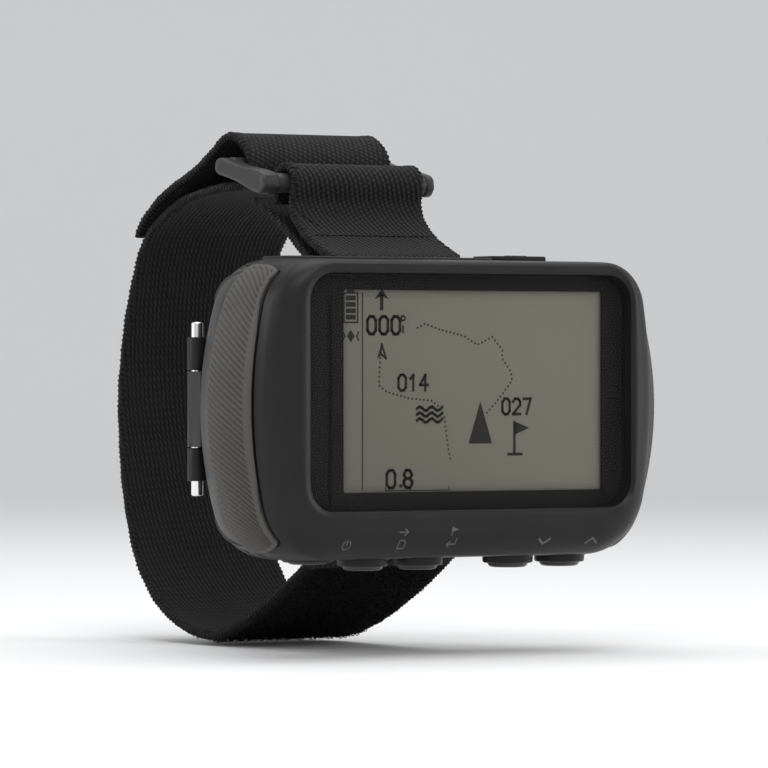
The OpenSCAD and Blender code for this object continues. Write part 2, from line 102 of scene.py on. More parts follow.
def smooth(points: Sequence[Sequence[float]], steps: int) -> Curve:
    """Makes a Catmull-Rom curve through points of any dimension.

    Args:
        points: The points that the curve passes.
        steps: Steps between two neighbouring points.

    Returns:
        The points of the curve.
    """
    p = np.array(points, float)
    out = []
    for i in range(len(p) - 1):
        a, b, c, d = p[max(i - 1, 0)], p[i], p[i + 1], p[min(i + 2, len(p) - 1)]
        for k in range(steps):
            t = k / steps
            out.append(0.5 * (2 * b + (c - a) * t + (2 * a - 5 * b + 4 * c - d) * t * t
                              + (3 * b - a - 3 * c + d) * t ** 3))
    out.append(p[-1])
    return np.array(out)


def resample(points: Curve, count: int) -> Curve:
    """Spaces points evenly along a polyline.

    Args:
        points: The polyline.
        count: How many points to return.

    Returns:
        The evenly spaced points.
    """
    lengths = np.concatenate([[0], np.cumsum(np.linalg.norm(np.diff(points, axis=0), axis=1))])
    wanted = np.linspace(0, lengths[-1], count)
    return np.stack([np.interp(wanted, lengths, points[:, k]) for k in range(points.shape[1])], 1)


def ease(value: float, low: float, high: float) -> float:
    """Rises smoothly from 0 at low to 1 at high."""
    t = min(max((value - low) / (high - low), 0.0), 1.0)
    return t * t * (3 - 2 * t)


def tangents(points: Curve) -> Curve:
    """Unit directions along an open polyline."""
    step = np.gradient(points, axis=0)
    return step / np.linalg.norm(step, axis=1)[:, None]


def make_piece(name: str, points: np.ndarray, faces: Faces, crease: float = 35.0) -> bpy.types.Object:
    """Makes an object from points in millimetres, with outward normals and soft shading.

    Args:
        name: Name of the object.
        points: The vertices, one row each.
        faces: Vertex numbers of each face.
        crease: Angle in degrees past which an edge stays sharp.

    Returns:
        The object, linked to the scene.
    """
    mesh = bpy.data.meshes.new(name)
    mesh.from_pydata([tuple(v) for v in np.asarray(points) * MM], [], faces)
    bm = bmesh.new()
    bm.from_mesh(mesh)
    bmesh.ops.remove_doubles(bm, verts=bm.verts, dist=1e-7)
    bmesh.ops.recalc_face_normals(bm, faces=bm.faces)
    bm.to_mesh(mesh)
    bm.free()
    piece = bpy.data.objects.new(name, mesh)
    bpy.context.scene.collection.objects.link(piece)
    soften(piece, crease)
    return piece


def soften(piece: bpy.types.Object, crease: float) -> None:
    """Shades a piece smooth, with edges sharper than crease degrees kept."""
    mesh = piece.data
    mesh.polygons.foreach_set("use_smooth", [True] * len(mesh.polygons))
    mesh.set_sharp_from_angle(angle=math.radians(crease))
    mesh.update()


def loft(rings: Sequence[np.ndarray], closed: bool = False, caps: bool = False) -> tuple[np.ndarray, Faces]:
    """Joins closed rings of equal length into a skin.

    Args:
        rings: The rings, each a row of 3-D points.
        closed: Whether the last ring joins the first.
        caps: Whether the first and last ring are filled.

    Returns:
        The points and the faces.
    """
    count = len(rings[0])
    faces: Faces = []
    for i in range(len(rings) - (0 if closed else 1)):
        a, b = i * count, ((i + 1) % len(rings)) * count
        for k in range(count):
            n = (k + 1) % count
            faces.append((a + k, a + n, b + n, b + k))
    if caps:
        faces.append(tuple(range(count)))
        faces.append(tuple(range((len(rings) - 1) * count, len(rings) * count)))
    return np.concatenate(rings), faces


def lathe(profile: Sequence[tuple[float, float]], origin: Sequence[float], axis: str,
          count: int = 48) -> tuple[np.ndarray, Faces]:
    """Turns a profile round an axis.

    Args:
        profile: Pairs of radius and place along the axis, from one end to the other.
        origin: A point on the axis.
        axis: "x", "y" or "z".
        count: Steps round the axis.

    Returns:
        The points and the faces of a closed skin.
    """
    order = {"x": (2, 0, 1), "y": (1, 2, 0), "z": (0, 1, 2)}[axis]
    rings = []
    for radius, place in profile:
        turn = np.radians(np.arange(count) * 360 / count)
        flat = np.stack([max(radius, 1e-4) * np.cos(turn), max(radius, 1e-4) * np.sin(turn),
                         np.full(count, place)], 1)
        rings.append(flat[:, order] + np.array(origin))
    return loft(rings, caps=True)


def block(low: Sequence[float], high: Sequence[float]) -> tuple[np.ndarray, Faces]:
    """Makes a plain box from its low and high corners, used to cut or to be bevelled."""
    x, y, z = zip(low, high)
    points = np.array([(a, b, c) for a in x for b in y for c in z], float)
    return points, [(0, 1, 3, 2), (4, 6, 7, 5), (0, 4, 5, 1), (2, 3, 7, 6), (0, 2, 6, 4), (1, 5, 7, 3)]


def merged(parts: Iterable[tuple[np.ndarray, Faces]]) -> tuple[np.ndarray, Faces]:
    """Puts several skins in one list of points and faces."""
    points, faces, start = [], [], 0
    for p, f in parts:
        points.append(p)
        faces += [tuple(i + start for i in face) for face in f]
        start += len(p)
    return np.concatenate(points), faces


def bake(piece: bpy.types.Object) -> bpy.types.Object:
    """Applies the modifiers of a piece to its mesh and removes them."""
    graph = bpy.context.evaluated_depsgraph_get()
    mesh = bpy.data.meshes.new_from_object(piece.evaluated_get(graph))
    piece.modifiers.clear()
    old, piece.data = piece.data, mesh
    bpy.data.meshes.remove(old)
    return piece


def bevelled(name: str, skin: tuple[np.ndarray, Faces], width: float,
             crease: float = 35.0) -> bpy.types.Object:
    """Makes a piece with its sharp edges rounded by width millimetres."""
    piece = make_piece(name, skin[0], skin[1], crease)
    bevel = piece.modifiers.new("round", "BEVEL")
    bevel.width = width * MM
    bevel.segments = 3
    bevel.limit_method = "ANGLE"
    bevel.angle_limit = math.radians(crease)
    bake(piece)
    soften(piece, crease)
    return piece


def combine(piece: bpy.types.Object, tool: bpy.types.Object, operation: str) -> None:
    """Adds a closed tool to a piece or cuts it out, and removes the tool.

    Args:
        piece: The piece to change.
        tool: The closed tool.
        operation: "UNION" or "DIFFERENCE".
    """
    change = piece.modifiers.new("combine", "BOOLEAN")
    change.object = tool
    change.operation = operation
    change.solver = "MANIFOLD"
    bake(piece)
    bpy.data.objects.remove(tool)


def carve(piece: bpy.types.Object, tools: Sequence[tuple[np.ndarray, Faces]],
          crease: float = 35.0) -> bpy.types.Object:
    """Cuts closed skins out of a piece.

    Args:
        piece: The piece to change.
        tools: The closed skins.
        crease: Angle in degrees past which an edge stays sharp.

    Returns:
        The piece.
    """
    for skin in tools:
        combine(piece, make_piece("tool", skin[0], skin[1]), "DIFFERENCE")
    soften(piece, crease)
    return piece


def joined(name: str, pieces: Sequence[bpy.types.Object], crease: float = 35.0) -> bpy.types.Object:
    """Joins pieces into the first one, which takes the name."""
    with bpy.context.temp_override(active_object=pieces[0], selected_editable_objects=list(pieces)):
        bpy.ops.object.join()
    pieces[0].name = name
    soften(pieces[0], crease)
    return pieces[0]


# ---------------------------------------------------------------------------
# finishes
# ---------------------------------------------------------------------------


class Graph:
    """Short ways to add shader nodes to one material."""

    def __init__(self, name: str) -> None:
        """Makes the material with its shader and a position in metres."""
        self.material = bpy.data.materials.new(name)
        self.material.use_nodes = True
        self.tree = self.material.node_tree
        self.shader = self.tree.nodes["Principled BSDF"]
        self.places = self.tree.nodes.new("ShaderNodeTexCoord")

    def node(self, kind: str, **values: object) -> bpy.types.Node:
        """Adds a node and sets its own properties."""
        made = self.tree.nodes.new(kind)
        for key, value in values.items():
            setattr(made, key, value)
        return made

    def link(self, source: bpy.types.NodeSocket, target: bpy.types.NodeSocket) -> None:
        """Links two sockets."""
        self.tree.links.new(source, target)

    def set(self, **values: object) -> None:
        """Sets the shader's own sockets, with underscores for spaces in their names."""
        for key, value in values.items():
            self.shader.inputs[key.replace("_", " ")].default_value = value

    def math(self, operation: str, a: object, b: object = 0.0, c: object = 0.0) -> bpy.types.NodeSocket:
        """Adds a math node whose inputs are sockets or numbers."""
        made = self.node("ShaderNodeMath", operation=operation)
        for place, value in enumerate((a, b, c)):
            if isinstance(value, bpy.types.NodeSocket):
                self.link(value, made.inputs[place])
            else:
                made.inputs[place].default_value = value
        return made.outputs[0]

    def noise(self, size: float, detail: float = 3.0, stretch: tuple[float, float, float] = (1, 1, 1),
              uv: bool = False) -> bpy.types.NodeSocket:
        """Adds noise.

        Args:
            size: Size of the largest patches in millimetres.
            detail: How many finer layers it has.
            stretch: How much denser it is along each axis.
            uv: Whether it lies on the UV map and not in space.

        Returns:
            The noise, from 0 to 1.
        """
        turn = self.node("ShaderNodeMapping")
        turn.inputs["Scale"].default_value = stretch
        self.link(self.places.outputs["UV" if uv else "Object"], turn.inputs["Vector"])
        made = self.node("ShaderNodeTexNoise")
        made.inputs["Scale"].default_value = 1 / (size * MM)
        made.inputs["Detail"].default_value = detail
        self.link(turn.outputs[0], made.inputs["Vector"])
        return made.outputs["Fac"]

    def colours(self, factor: bpy.types.NodeSocket,
                stops: Sequence[tuple[float, Sequence[float]]]) -> bpy.types.NodeSocket:
        """Turns a number into a colour by a ramp of stops."""
        ramp = self.node("ShaderNodeValToRGB")
        band = ramp.color_ramp
        while len(band.elements) < len(stops):
            band.elements.new(0.5)
        for element, (place, colour) in zip(band.elements, stops):
            element.position = place
            element.color = (*colour, 1.0)
        self.link(factor, ramp.inputs[0])
        return ramp.outputs[0]

    def spread(self, factor: bpy.types.NodeSocket, low: float, high: float) -> bpy.types.NodeSocket:
        """Maps 0 to 1 onto low to high."""
        made = self.node("ShaderNodeMapRange")
        made.inputs["To Min"].default_value = low
        made.inputs["To Max"].default_value = high
        self.link(factor, made.inputs["Value"])
        return made.outputs[0]

    def bump(self, height: bpy.types.NodeSocket, depth: float) -> None:
        """Adds a bump of depth millimetres."""
        made = self.node("ShaderNodeBump")
        made.inputs["Strength"].default_value = 1.0
        made.inputs["Distance"].default_value = depth * MM
        self.link(height, made.inputs["Height"])
        self.link(made.outputs[0], self.shader.inputs["Normal"])


def shade(colour: Sequence[float], amount: float) -> tuple[float, float, float]:
    """Makes a colour lighter or darker by a factor."""
    return tuple(min(c * amount, 1.0) for c in colour)


@dataclass(frozen=True)
class Moulded:
    """Moulded plastic or rubber: fine spark-eroded grain, faint cloudiness and handling sheen."""

    name: str
    colour: tuple[float, float, float]
    roughness: float = 0.45
    grain: float = 0.16
    depth: float = 0.012
    clouds: float = 0.12
    coat: float = 0.0
    gloss: float = 0.2

    def make(self) -> bpy.types.Material:
        """Builds the material."""
        g = Graph(self.name)
        g.set(Metallic=0.0, Coat_Weight=self.coat, Coat_Roughness=0.35, Specular_IOR_Level=self.gloss)
        clouds = g.noise(9.0, 4)
        g.link(g.colours(clouds, [(0.3, shade(self.colour, 1 - self.clouds)),
                                  (0.7, shade(self.colour, 1 + self.clouds))]),
               g.shader.inputs["Base Color"])
        fine = g.noise(self.grain, 2)
        worn = g.math("ADD", g.math("MULTIPLY", clouds, 0.14), g.math("MULTIPLY", fine, 0.12))
        g.link(g.math("ADD", worn, self.roughness - 0.13), g.shader.inputs["Roughness"])
        g.bump(fine, self.depth)
        return g.material


@dataclass(frozen=True)
class Metal:
    """Turned or rolled metal: fine lines along one axis and slightly uneven polish."""

    name: str
    colour: tuple[float, float, float]
    roughness: float = 0.22
    stretch: tuple[float, float, float] = (1.0, 1.0, 12.0)

    def make(self) -> bpy.types.Material:
        """Builds the material."""
        g = Graph(self.name)
        g.set(Metallic=1.0)
        lines = g.noise(0.5, 3, self.stretch)
        g.link(g.colours(lines, [(0.3, shade(self.colour, 0.86)), (0.7, self.colour)]),
               g.shader.inputs["Base Color"])
        g.link(g.spread(lines, self.roughness * 0.7, self.roughness * 1.4), g.shader.inputs["Roughness"])
        g.bump(lines, 0.004)
        return g.material


@dataclass(frozen=True)
class Webbing:
    """Hook-and-loop webbing: a twill or a fine knit that follows the strap's own length, with painted shade
    in the grooves between yarns and painted highlights on their crowns.
    """

    name: str
    colour: tuple[float, float, float]
    column: float = 0.8
    dash: float = 0.72
    lean: float = -0.3
    slant: float = 0.5
    depth: float = 0.22
    sheen: float = 0.05

    def make(self) -> bpy.types.Material:
        """Builds the material from the strap's UV map, which is in metres."""
        g = Graph(self.name)
        g.set(Sheen_Weight=self.sheen, Sheen_Roughness=0.4, Specular_IOR_Level=0.15)
        parts = g.node("ShaderNodeSeparateXYZ")
        g.link(g.places.outputs["UV"], parts.inputs[0])
        across, along = parts.outputs[0], parts.outputs[1]
        wobble = g.math("MULTIPLY", g.math("SUBTRACT", g.noise(2.2, 2, uv=True), 0.5), 0.00045)
        column = g.math("ADD", g.math("MULTIPLY_ADD", along, self.lean, across), wobble)
        columns = g.math("SINE", g.math("MULTIPLY", column, 2 * math.pi / (self.column * MM)))
        dash = g.math("ADD", g.math("MULTIPLY_ADD", across, self.slant, along), wobble)
        dashes = g.math("SINE", g.math("MULTIPLY", dash, 2 * math.pi / (self.dash * MM)))
        columns = g.math("MULTIPLY_ADD", columns, 0.5, 0.5)
        dashes = g.math("MULTIPLY_ADD", dashes, 0.5, 0.5)
        yarn = g.math("MULTIPLY", g.math("POWER", columns, 0.8), g.math("MULTIPLY_ADD", dashes, 0.6, 0.4))
        fuzz = g.noise(0.16, 2, (1, 1, 1), uv=True)
        height = g.math("MULTIPLY_ADD", fuzz, 0.35, yarn)
        patches = g.noise(7.0, 3, uv=True)
        # Painted shade and highlight: the colour runs from dark in the yarn's grooves to light on its crowns,
        # mixed with random patches of tone.
        patchy_painted_relief = g.math("ADD", g.math("MULTIPLY", height, 0.75), g.math("MULTIPLY", patches, 0.3))
        g.link(g.colours(patchy_painted_relief, [(0.12, shade(self.colour, 0.28)), (0.55, self.colour),
                                (1.0, shade(self.colour, 2.1))]),
               g.shader.inputs["Base Color"])
        g.link(g.spread(fuzz, 0.72, 0.95), g.shader.inputs["Roughness"])
        g.bump(height, self.depth)
        return g.material


@dataclass(frozen=True)
class Pile:
    """Loop pile: a dense tangle of fine black nylon loops, with painted shade deep in the pile and painted
    highlights on the loop tops.
    """

    name: str
    colour: tuple[float, float, float]
    curl: float = 0.55

    def make(self) -> bpy.types.Material:
        """Builds the material."""
        g = Graph(self.name)
        g.set(Sheen_Weight=0.03, Sheen_Roughness=0.5, Specular_IOR_Level=0.12)
        loops = g.node("ShaderNodeTexVoronoi", feature="DISTANCE_TO_EDGE")
        loops.inputs["Scale"].default_value = 1 / (self.curl * MM)
        g.link(g.places.outputs["Object"], loops.inputs["Vector"])
        tangle = g.noise(0.22, 3)
        clumps = g.noise(2.4, 3)
        height = g.math("ADD", g.math("MULTIPLY", loops.outputs[0], 0.9), tangle)
        # Painted shade and highlight: the colour follows the loops' height, dark in the pile's depths and
        # light on the loop tops, scaled by random clumps.
        patchy_painted_relief = g.math("MULTIPLY", height, g.math("ADD", clumps, 0.2))
        g.link(g.colours(patchy_painted_relief, [(0.18, shade(self.colour, 0.3)), (0.6, self.colour),
                                (0.95, shade(self.colour, 3.2))]),
               g.shader.inputs["Base Color"])
        g.link(g.spread(tangle, 0.75, 1.0), g.shader.inputs["Roughness"])
        g.bump(height, 0.3)
        return g.material


@dataclass(frozen=True)
class Glazing:
    """Thin clear window with a faint hard-coat."""

    name: str
    colour: tuple[float, float, float] = (0.05, 0.052, 0.05)
    alpha: float = 0.05

    def make(self) -> bpy.types.Material:
        """Builds the material."""
        g = Graph(self.name)
        g.set(Base_Color=(*self.colour, 1.0), Alpha=self.alpha, IOR=1.49, Specular_IOR_Level=0.2)
        smears = g.noise(6.0, 4)
        g.link(g.spread(smears, 0.05, 0.11), g.shader.inputs["Roughness"])
        return g.material


@dataclass(frozen=True)
class Reflective:
    """Reflective liquid-crystal panel: olive grey, with painted shade darkening it towards its rims, a
    painted light gradient brightening it towards its upper right, and a faint dot grid.
    """

    name: str
    colour: tuple[float, float, float]
    centre: tuple[float, float] = (1.7, 0.1)
    half: tuple[float, float] = (21.4, 13.7)
    pitch: float = 0.214

    def make(self) -> bpy.types.Material:
        """Builds the material."""
        g = Graph(self.name)
        g.set(Specular_IOR_Level=0.3)
        parts = g.node("ShaderNodeSeparateXYZ")
        g.link(g.places.outputs["Object"], parts.inputs[0])
        # Painted shade: the colour falls off within 1.3 mm of the panel's rims, where the bezel shades it.
        rims = []
        for socket, middle, half in ((parts.outputs[0], self.centre[0], self.half[0]),
                                     (parts.outputs[2], self.centre[1], self.half[1])):
            far = g.math("ABSOLUTE", g.math("SUBTRACT", socket, middle * MM))
            inside = g.math("SUBTRACT", half * MM, far)
            rims.append(g.math("MULTIPLY", inside, 1 / (1.3 * MM)))
        rim = g.math("MINIMUM", g.math("MINIMUM", rims[0], rims[1]), 1.0)
        dots = [g.math("GREATER_THAN", g.math("FRACT", g.math("DIVIDE", s, self.pitch * MM)), 0.13)
                for s in (parts.outputs[0], parts.outputs[2])]
        grid = g.math("MULTIPLY_ADD", g.math("MULTIPLY", dots[0], dots[1]), 0.05, 0.95)
        # Painted light: the colour brightens steadily towards the upper right, as if light falls across the
        # panel.
        slope = g.math("MULTIPLY_ADD", g.math("ADD", parts.outputs[0], parts.outputs[2]), 5.0, 0.9)
        dot_grid_with_painted_light = g.math("MULTIPLY", g.math("MULTIPLY", grid, slope), g.math("MULTIPLY_ADD", rim, 0.3, 0.7))
        g.link(g.colours(dot_grid_with_painted_light, [(0.0, (0.0, 0.0, 0.0)), (1.0, self.colour)]), g.shader.inputs["Base Color"])
        g.link(g.spread(g.noise(0.2, 2), 0.35, 0.5), g.shader.inputs["Roughness"])
        return g.material


@dataclass(frozen=True)
class Board:
    """Circuit board: solder mask over copper tracks."""

    name: str
    mask: tuple[float, float, float] = (0.015, 0.11, 0.04)

    def make(self) -> bpy.types.Material:
        """Builds the material."""
        g = Graph(self.name)
        g.set(Coat_Weight=0.3, Coat_Roughness=0.2)
        tracks = g.node("ShaderNodeTexBrick")
        tracks.inputs["Scale"].default_value = 1 / (2.6 * MM)
        tracks.inputs["Mortar Size"].default_value = 0.07
        turn = g.node("ShaderNodeMapping")
        turn.inputs["Rotation"].default_value = (math.pi / 2, 0, 0)
        g.link(g.places.outputs["Object"], turn.inputs["Vector"])
        g.link(turn.outputs[0], tracks.inputs["Vector"])
        g.link(g.colours(tracks.outputs["Fac"], [(0.0, self.mask), (1.0, shade(self.mask, 2.2))]),
               g.shader.inputs["Base Color"])
        g.link(g.spread(tracks.outputs["Fac"], 0.42, 0.3), g.shader.inputs["Roughness"])
        g.bump(tracks.outputs["Fac"], 0.02)
        return g.material


@dataclass(frozen=True)
class Wrapped:
    """Printed film round a cell: two plain colours with a narrow band between them."""

    name: str
    body: tuple[float, float, float] = (0.05, 0.05, 0.055)
    top: tuple[float, float, float] = (0.45, 0.2, 0.05)
    split: float = 3.0

    def make(self) -> bpy.types.Material:
        """Builds the material."""
        g = Graph(self.name)
        g.set(Coat_Weight=0.4, Coat_Roughness=0.15)
        parts = g.node("ShaderNodeSeparateXYZ")
        g.link(g.places.outputs["Object"], parts.inputs[0])
        side = g.math("GREATER_THAN", parts.outputs[0], self.split * MM)
        g.link(g.colours(side, [(0.0, self.body), (1.0, self.top)]), g.shader.inputs["Base Color"])
        g.link(g.spread(g.noise(3.0, 3), 0.25, 0.4), g.shader.inputs["Roughness"])
        return g.material


@dataclass(frozen=True)
class Palette:
    """Every finish of the object, by the record's material slot."""

    shell: Moulded = Moulded("satin_black_plastic", (0.0125, 0.0125, 0.013), 0.40, 0.14, 0.008)
    door_plastic: Moulded = Moulded("satin_grey_plastic", (0.03, 0.03, 0.031), 0.42)
    grip_rubber: Moulded = Moulded("warm_grey_rubber", (0.083, 0.076, 0.070), 0.62, 0.2, 0.02, 0.08)
    seal_rubber: Moulded = Moulded("black_seal_rubber", (0.01, 0.01, 0.01), 0.7, 0.2, 0.02)
    cap_rubber: Moulded = Moulded("matte_black_rubber", (0.014, 0.014, 0.0145), 0.65, 0.2, 0.02)
    window: Glazing = Glazing("clear_window")
    window_print: Moulded = Moulded("window_border_print", (0.012, 0.012, 0.0122), 0.6, 2.0, 0.0002, 0.03,
                                    gloss=0.05)
    glue: Moulded = Moulded("adhesive_tape", (0.01, 0.01, 0.01), 0.7)
    # The display's colour carries painted shade at its rims and a painted light gradient across it.
    display: Reflective = Reflective("reflective_display", (0.172, 0.160, 0.127))
    marks: Moulded = Moulded("display_marks_dark", (0.012, 0.012, 0.010), 0.5, 0.3, 0.002, 0.1)
    white_plastic: Moulded = Moulded("white_light_guide", (0.75, 0.75, 0.73), 0.35, 0.3, 0.004)
    zebra_rubber: Moulded = Moulded("striped_contact_rubber", (0.45, 0.3, 0.08), 0.6, 0.3, 0.01, 0.4)
    board: Board = Board("green_board")
    chip: Moulded = Moulded("black_moulding_compound", (0.012, 0.012, 0.013), 0.6, 0.1, 0.01)
    tin: Metal = Metal("tinned_steel", (0.62, 0.63, 0.64), 0.35)
    patch_ceramic: Moulded = Moulded("tan_ceramic", (0.45, 0.29, 0.15), 0.5, 0.2, 0.01)
    switch_plastic: Moulded = Moulded("pale_switch_plastic", (0.5, 0.5, 0.48), 0.45)
    inner_plastic: Moulded = Moulded("inner_grey_plastic", (0.03, 0.03, 0.032), 0.5)
    cell_wrap: Wrapped = Wrapped("cell_film")
    nickel: Metal = Metal("nickel_plate", (0.62, 0.6, 0.56), 0.28)
    steel: Metal = Metal("bright_steel", (0.86, 0.86, 0.87), 0.16)
    flex: Moulded = Moulded("amber_flat_cable", (0.4, 0.17, 0.03), 0.35, 0.5, 0.004, 0.2, 0.3)
    key_plastic: Moulded = Moulded("dark_gunmetal_key", (0.028, 0.0275, 0.027), 0.34, 0.14, 0.006, 0.1,
                                   0.15, 0.4)
    strap_fabric: Webbing = Webbing("strap_twill", (0.0125, 0.0125, 0.013))
    strap_inside: Webbing = Webbing("strap_knit", (0.0095, 0.0095, 0.0095), 0.72, 0.9, 0.12, 1.2, 0.14, 0.03)
    strap_pile: Pile = Pile("strap_loop_pile", (0.0042, 0.0042, 0.0044))
    strap_hook: Webbing = Webbing("strap_hook_face", (0.003, 0.003, 0.003), 0.6, 0.6, 0.0, 0.0, 0.2, 0.01)
    thread: Moulded = Moulded("black_thread", (0.012, 0.012, 0.0125), 0.6, 0.08, 0.02, 0.3)
    ring_plastic: Moulded = Moulded("ring_grey_plastic", (0.036, 0.036, 0.037), 0.36, 0.16, 0.008, 0.15, 0.1)
    legend: Moulded = Moulded("pale_legend_ink", (0.11, 0.11, 0.108), 0.55, 0.2, 0.002, 0.2)

    def dress(self, piece: bpy.types.Object, finish: str, body: str, slot: str | None = None) -> None:
        """Gives a piece its finish and lets it ride on a body.

        Args:
            piece: The piece.
            finish: Name of one of the finishes.
            body: Name of the CAD body.
            slot: The record's material slot, if it isn't the finish's own name. Not used.
        """
        piece.data.materials.clear()
        piece.data.materials.append(self.material(finish))
        self.seat(piece, body, slot or finish)

    def seat(self, piece: bpy.types.Object, body: str, slot: str) -> None:
        """Lets a piece ride on a body and reports it."""
        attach(piece, body)
        LOG.info("piece %s on %s: %d faces", piece.name, body, len(piece.data.polygons))

    def material(self, finish: str) -> bpy.types.Material:
        """Returns the material of a finish, made once."""
        spec = getattr(self, finish)
        return bpy.data.materials.get(spec.name) or spec.make()


# ---------------------------------------------------------------------------
# outline of the case
# ---------------------------------------------------------------------------


@dataclass(frozen=True)
class Slice:
    """One slice of the case, square to the screen's depth.

    Attributes:
        depth: Its place behind the window's face.
        half: Half width at mid height.
        top: Height of its upper edge.
        bottom: Height of its lower edge.
        r_top: Radius of its upper corners.
        r_bottom: Radius of its lower corners.
        bow: How far its sides bulge between the corners.
        middle: Where it is centred across the screen.
    """

    depth: float
    half: float
    top: float
    bottom: float
    r_top: float
    r_bottom: float
    bow: float = 0.0
    middle: float = 0.0

    def values(self) -> list[float]:
        """All its numbers in a row, to be blended with another slice's."""
        return [self.depth, self.half, self.top, self.bottom, self.r_top, self.r_bottom, self.bow,
                self.middle]

    def inset(self, gap: float, depth: float | None = None) -> "Slice":
        """The same slice drawn gap inside this one, at its own or another depth."""
        return Slice(self.depth if depth is None else depth, self.half - gap, self.top - gap,
                     self.bottom + gap, self.r_top - gap / 2, self.r_bottom - gap / 2, self.bow, self.middle)

    def right(self) -> Curve:
        """Outline of the right half, from the top's middle round to the bottom's middle."""
        lean = 0.0
        for _ in range(4):
            high = self.top - self.r_top * (1 - math.sin(lean))
            low = self.bottom + self.r_bottom * (1 - math.sin(lean))
            tall = (high - low) / 2
            lean = math.atan2(2 * self.bow, tall)
        turn = math.degrees(lean)
        end = self.half - self.bow
        upper = arc((end - self.r_top * math.cos(lean), self.top - self.r_top), self.r_top, 90, turn, 14)
        lower = arc((end - self.r_bottom * math.cos(lean), self.bottom + self.r_bottom), self.r_bottom,
                    -turn, -90, 14)
        t = np.linspace(1, -1, 21)[1:-1]
        side = np.stack([self.half - self.bow * t * t, (high + low) / 2 + tall * t], 1)
        along_top = np.stack([np.linspace(0, upper[0, 0], 13)[:-1], np.full(12, self.top)], 1)
        along_bottom = np.stack([np.linspace(lower[-1, 0], 0, 13)[1:], np.full(12, self.bottom)], 1)
        return np.concatenate([along_top, upper, side, lower, along_bottom])

    def ring(self, left: float = -math.inf) -> np.ndarray:
        """The whole outline in space, flattened against a plane on its left if one is given."""
        half = self.right()
        mirrored = (half * (-1, 1))[::-1][1:-1]
        flat = np.concatenate([half, mirrored])
        across = np.maximum(flat[:, 0] + self.middle, left)
        return np.stack([across, np.full(len(flat), self.depth), flat[:, 1]], 1)


@dataclass
class CaseSkin:
    """A smooth skin that passes through a run of slices."""

    slices: Sequence[Slice]
    steps: int = 6

    def table(self) -> np.ndarray:
        """Numbers of all the slices of the smooth skin, front first."""
        return smooth([s.values() for s in self.slices], self.steps)

    def run(self) -> list[Slice]:
        """All the slices of the smooth skin."""
        return [Slice(*row) for row in self.table()]

    def at(self, depth: float) -> Slice:
        """The slice at a depth."""
        table = self.table()
        return Slice(depth, *[float(np.interp(depth, table[:, 0], table[:, k])) for k in range(1, 8)])

    def patch(self, side: Side, depths: Sequence[float], inner: float, count: int) -> np.ndarray:
        """Makes a grid over one end of the skin.

        Args:
            side: Which end.
            depths: Depths of the grid's rows.
            inner: How far from the middle the grid starts and stops.
            count: Points in each row.

        Returns:
            The points, one row for each depth.
        """
        rows = []
        for depth in depths:
            half = self.at(depth).right()
            widest = int(np.argmax(half[:, 0]))
            upper = np.interp(inner, half[:widest, 0], half[:widest, 1])
            lower = np.interp(inner, half[widest:, 0][::-1], half[widest:, 1][::-1])
            kept = half[half[:, 0] > inner]
            line = resample(np.concatenate([[[inner, upper]], kept, [[inner, lower]]]), count)
            rows.append(np.stack([line[:, 0] * side.value, np.full(count, depth), line[:, 1]], 1))
        return np.array(rows)


def slab(outer: np.ndarray, inner: np.ndarray) -> tuple[np.ndarray, Faces]:
    """Makes a closed plate between two grids of the same size.

    Args:
        outer: Grid of the plate's face.
        inner: Grid of its back.

    Returns:
        The points and the faces.
    """
    rows, count = outer.shape[:2]
    back = rows * count
    faces: Faces = []
    for i in range(rows - 1):
        for k in range(count - 1):
            a = i * count + k
            faces.append((a, a + 1, a + count + 1, a + count))
            faces.append((back + a, back + a + count, back + a + count + 1, back + a + 1))
    for k in range(count - 1):
        end = (rows - 1) * count + k
        faces += [(k + 1, k, back + k, back + k + 1), (end, end + 1, back + end + 1, back + end)]
    for i in range(rows - 1):
        first, last = i * count, (i + 1) * count - 1
        faces += [(first, first + count, back + first + count, back + first),
                  (last + count, last, back + last, back + last + count)]
    return np.concatenate([outer.reshape(-1, 3), inner.reshape(-1, 3)]), faces


SEATS = CaseSkin([
    Slice(-1.2, 27.9, 17.3, -17.3, 5.2, 5.6, 0.3), Slice(-0.75, 29.3, 17.65, -19.3, 6.0, 7.0, 0.7),
    Slice(0.2, 30.8, 17.85, -20.9, 6.6, 8.0, 1.0), Slice(1.5, 31.9, 17.95, -22.0, 7.2, 8.8, 1.3),
    Slice(3.0, 32.75, 18.0, -22.6, 8.0, 9.3, 1.6), Slice(6.5, 35.0, 18.1, -22.8, 9.0, 9.6, 2.8),
    Slice(9.4, 35.2, 18.1, -22.8, 9.0, 9.6, 2.8), Slice(10.1, 35.5, 18.1, -22.8, 9.0, 9.5, 2.7),
    Slice(11.8, 34.95, 18.1, -22.8, 9.0, 9.4, 2.3)])
GRIPS = CaseSkin([
    Slice(3.0, 33.0, 18.1, -22.7, 8.0, 9.3, 1.6), Slice(3.5, 33.8, 18.2, -22.8, 8.4, 9.5, 2.0),
    Slice(5.2, 35.4, 18.25, -22.9, 9.0, 9.8, 2.8), Slice(7.2, 36.3, 18.25, -22.95, 9.4, 9.9, 3.2),
    Slice(8.8, 36.3, 18.25, -22.95, 9.4, 9.8, 3.1), Slice(10.0, 35.9, 18.2, -22.9, 9.2, 9.6, 2.8)])
REAR = CaseSkin([
    Slice(11.6, 35.0, 18.1, -22.8, 9.0, 9.4, 2.3), Slice(14.8, 33.8, 18.0, -22.7, 8.8, 9.0, 2.2),
    Slice(17.6, 31.8, 17.5, -22.2, 8.5, 8.8, 2.0), Slice(19.8, 29.4, 16.5, -21.1, 8.2, 8.4, 1.8),
    Slice(21.2, 27.2, 14.9, -19.4, 7.8, 7.9, 1.4), Slice(21.8, 25.6, 13.6, -18.0, 7.2, 7.4, 1.2)])


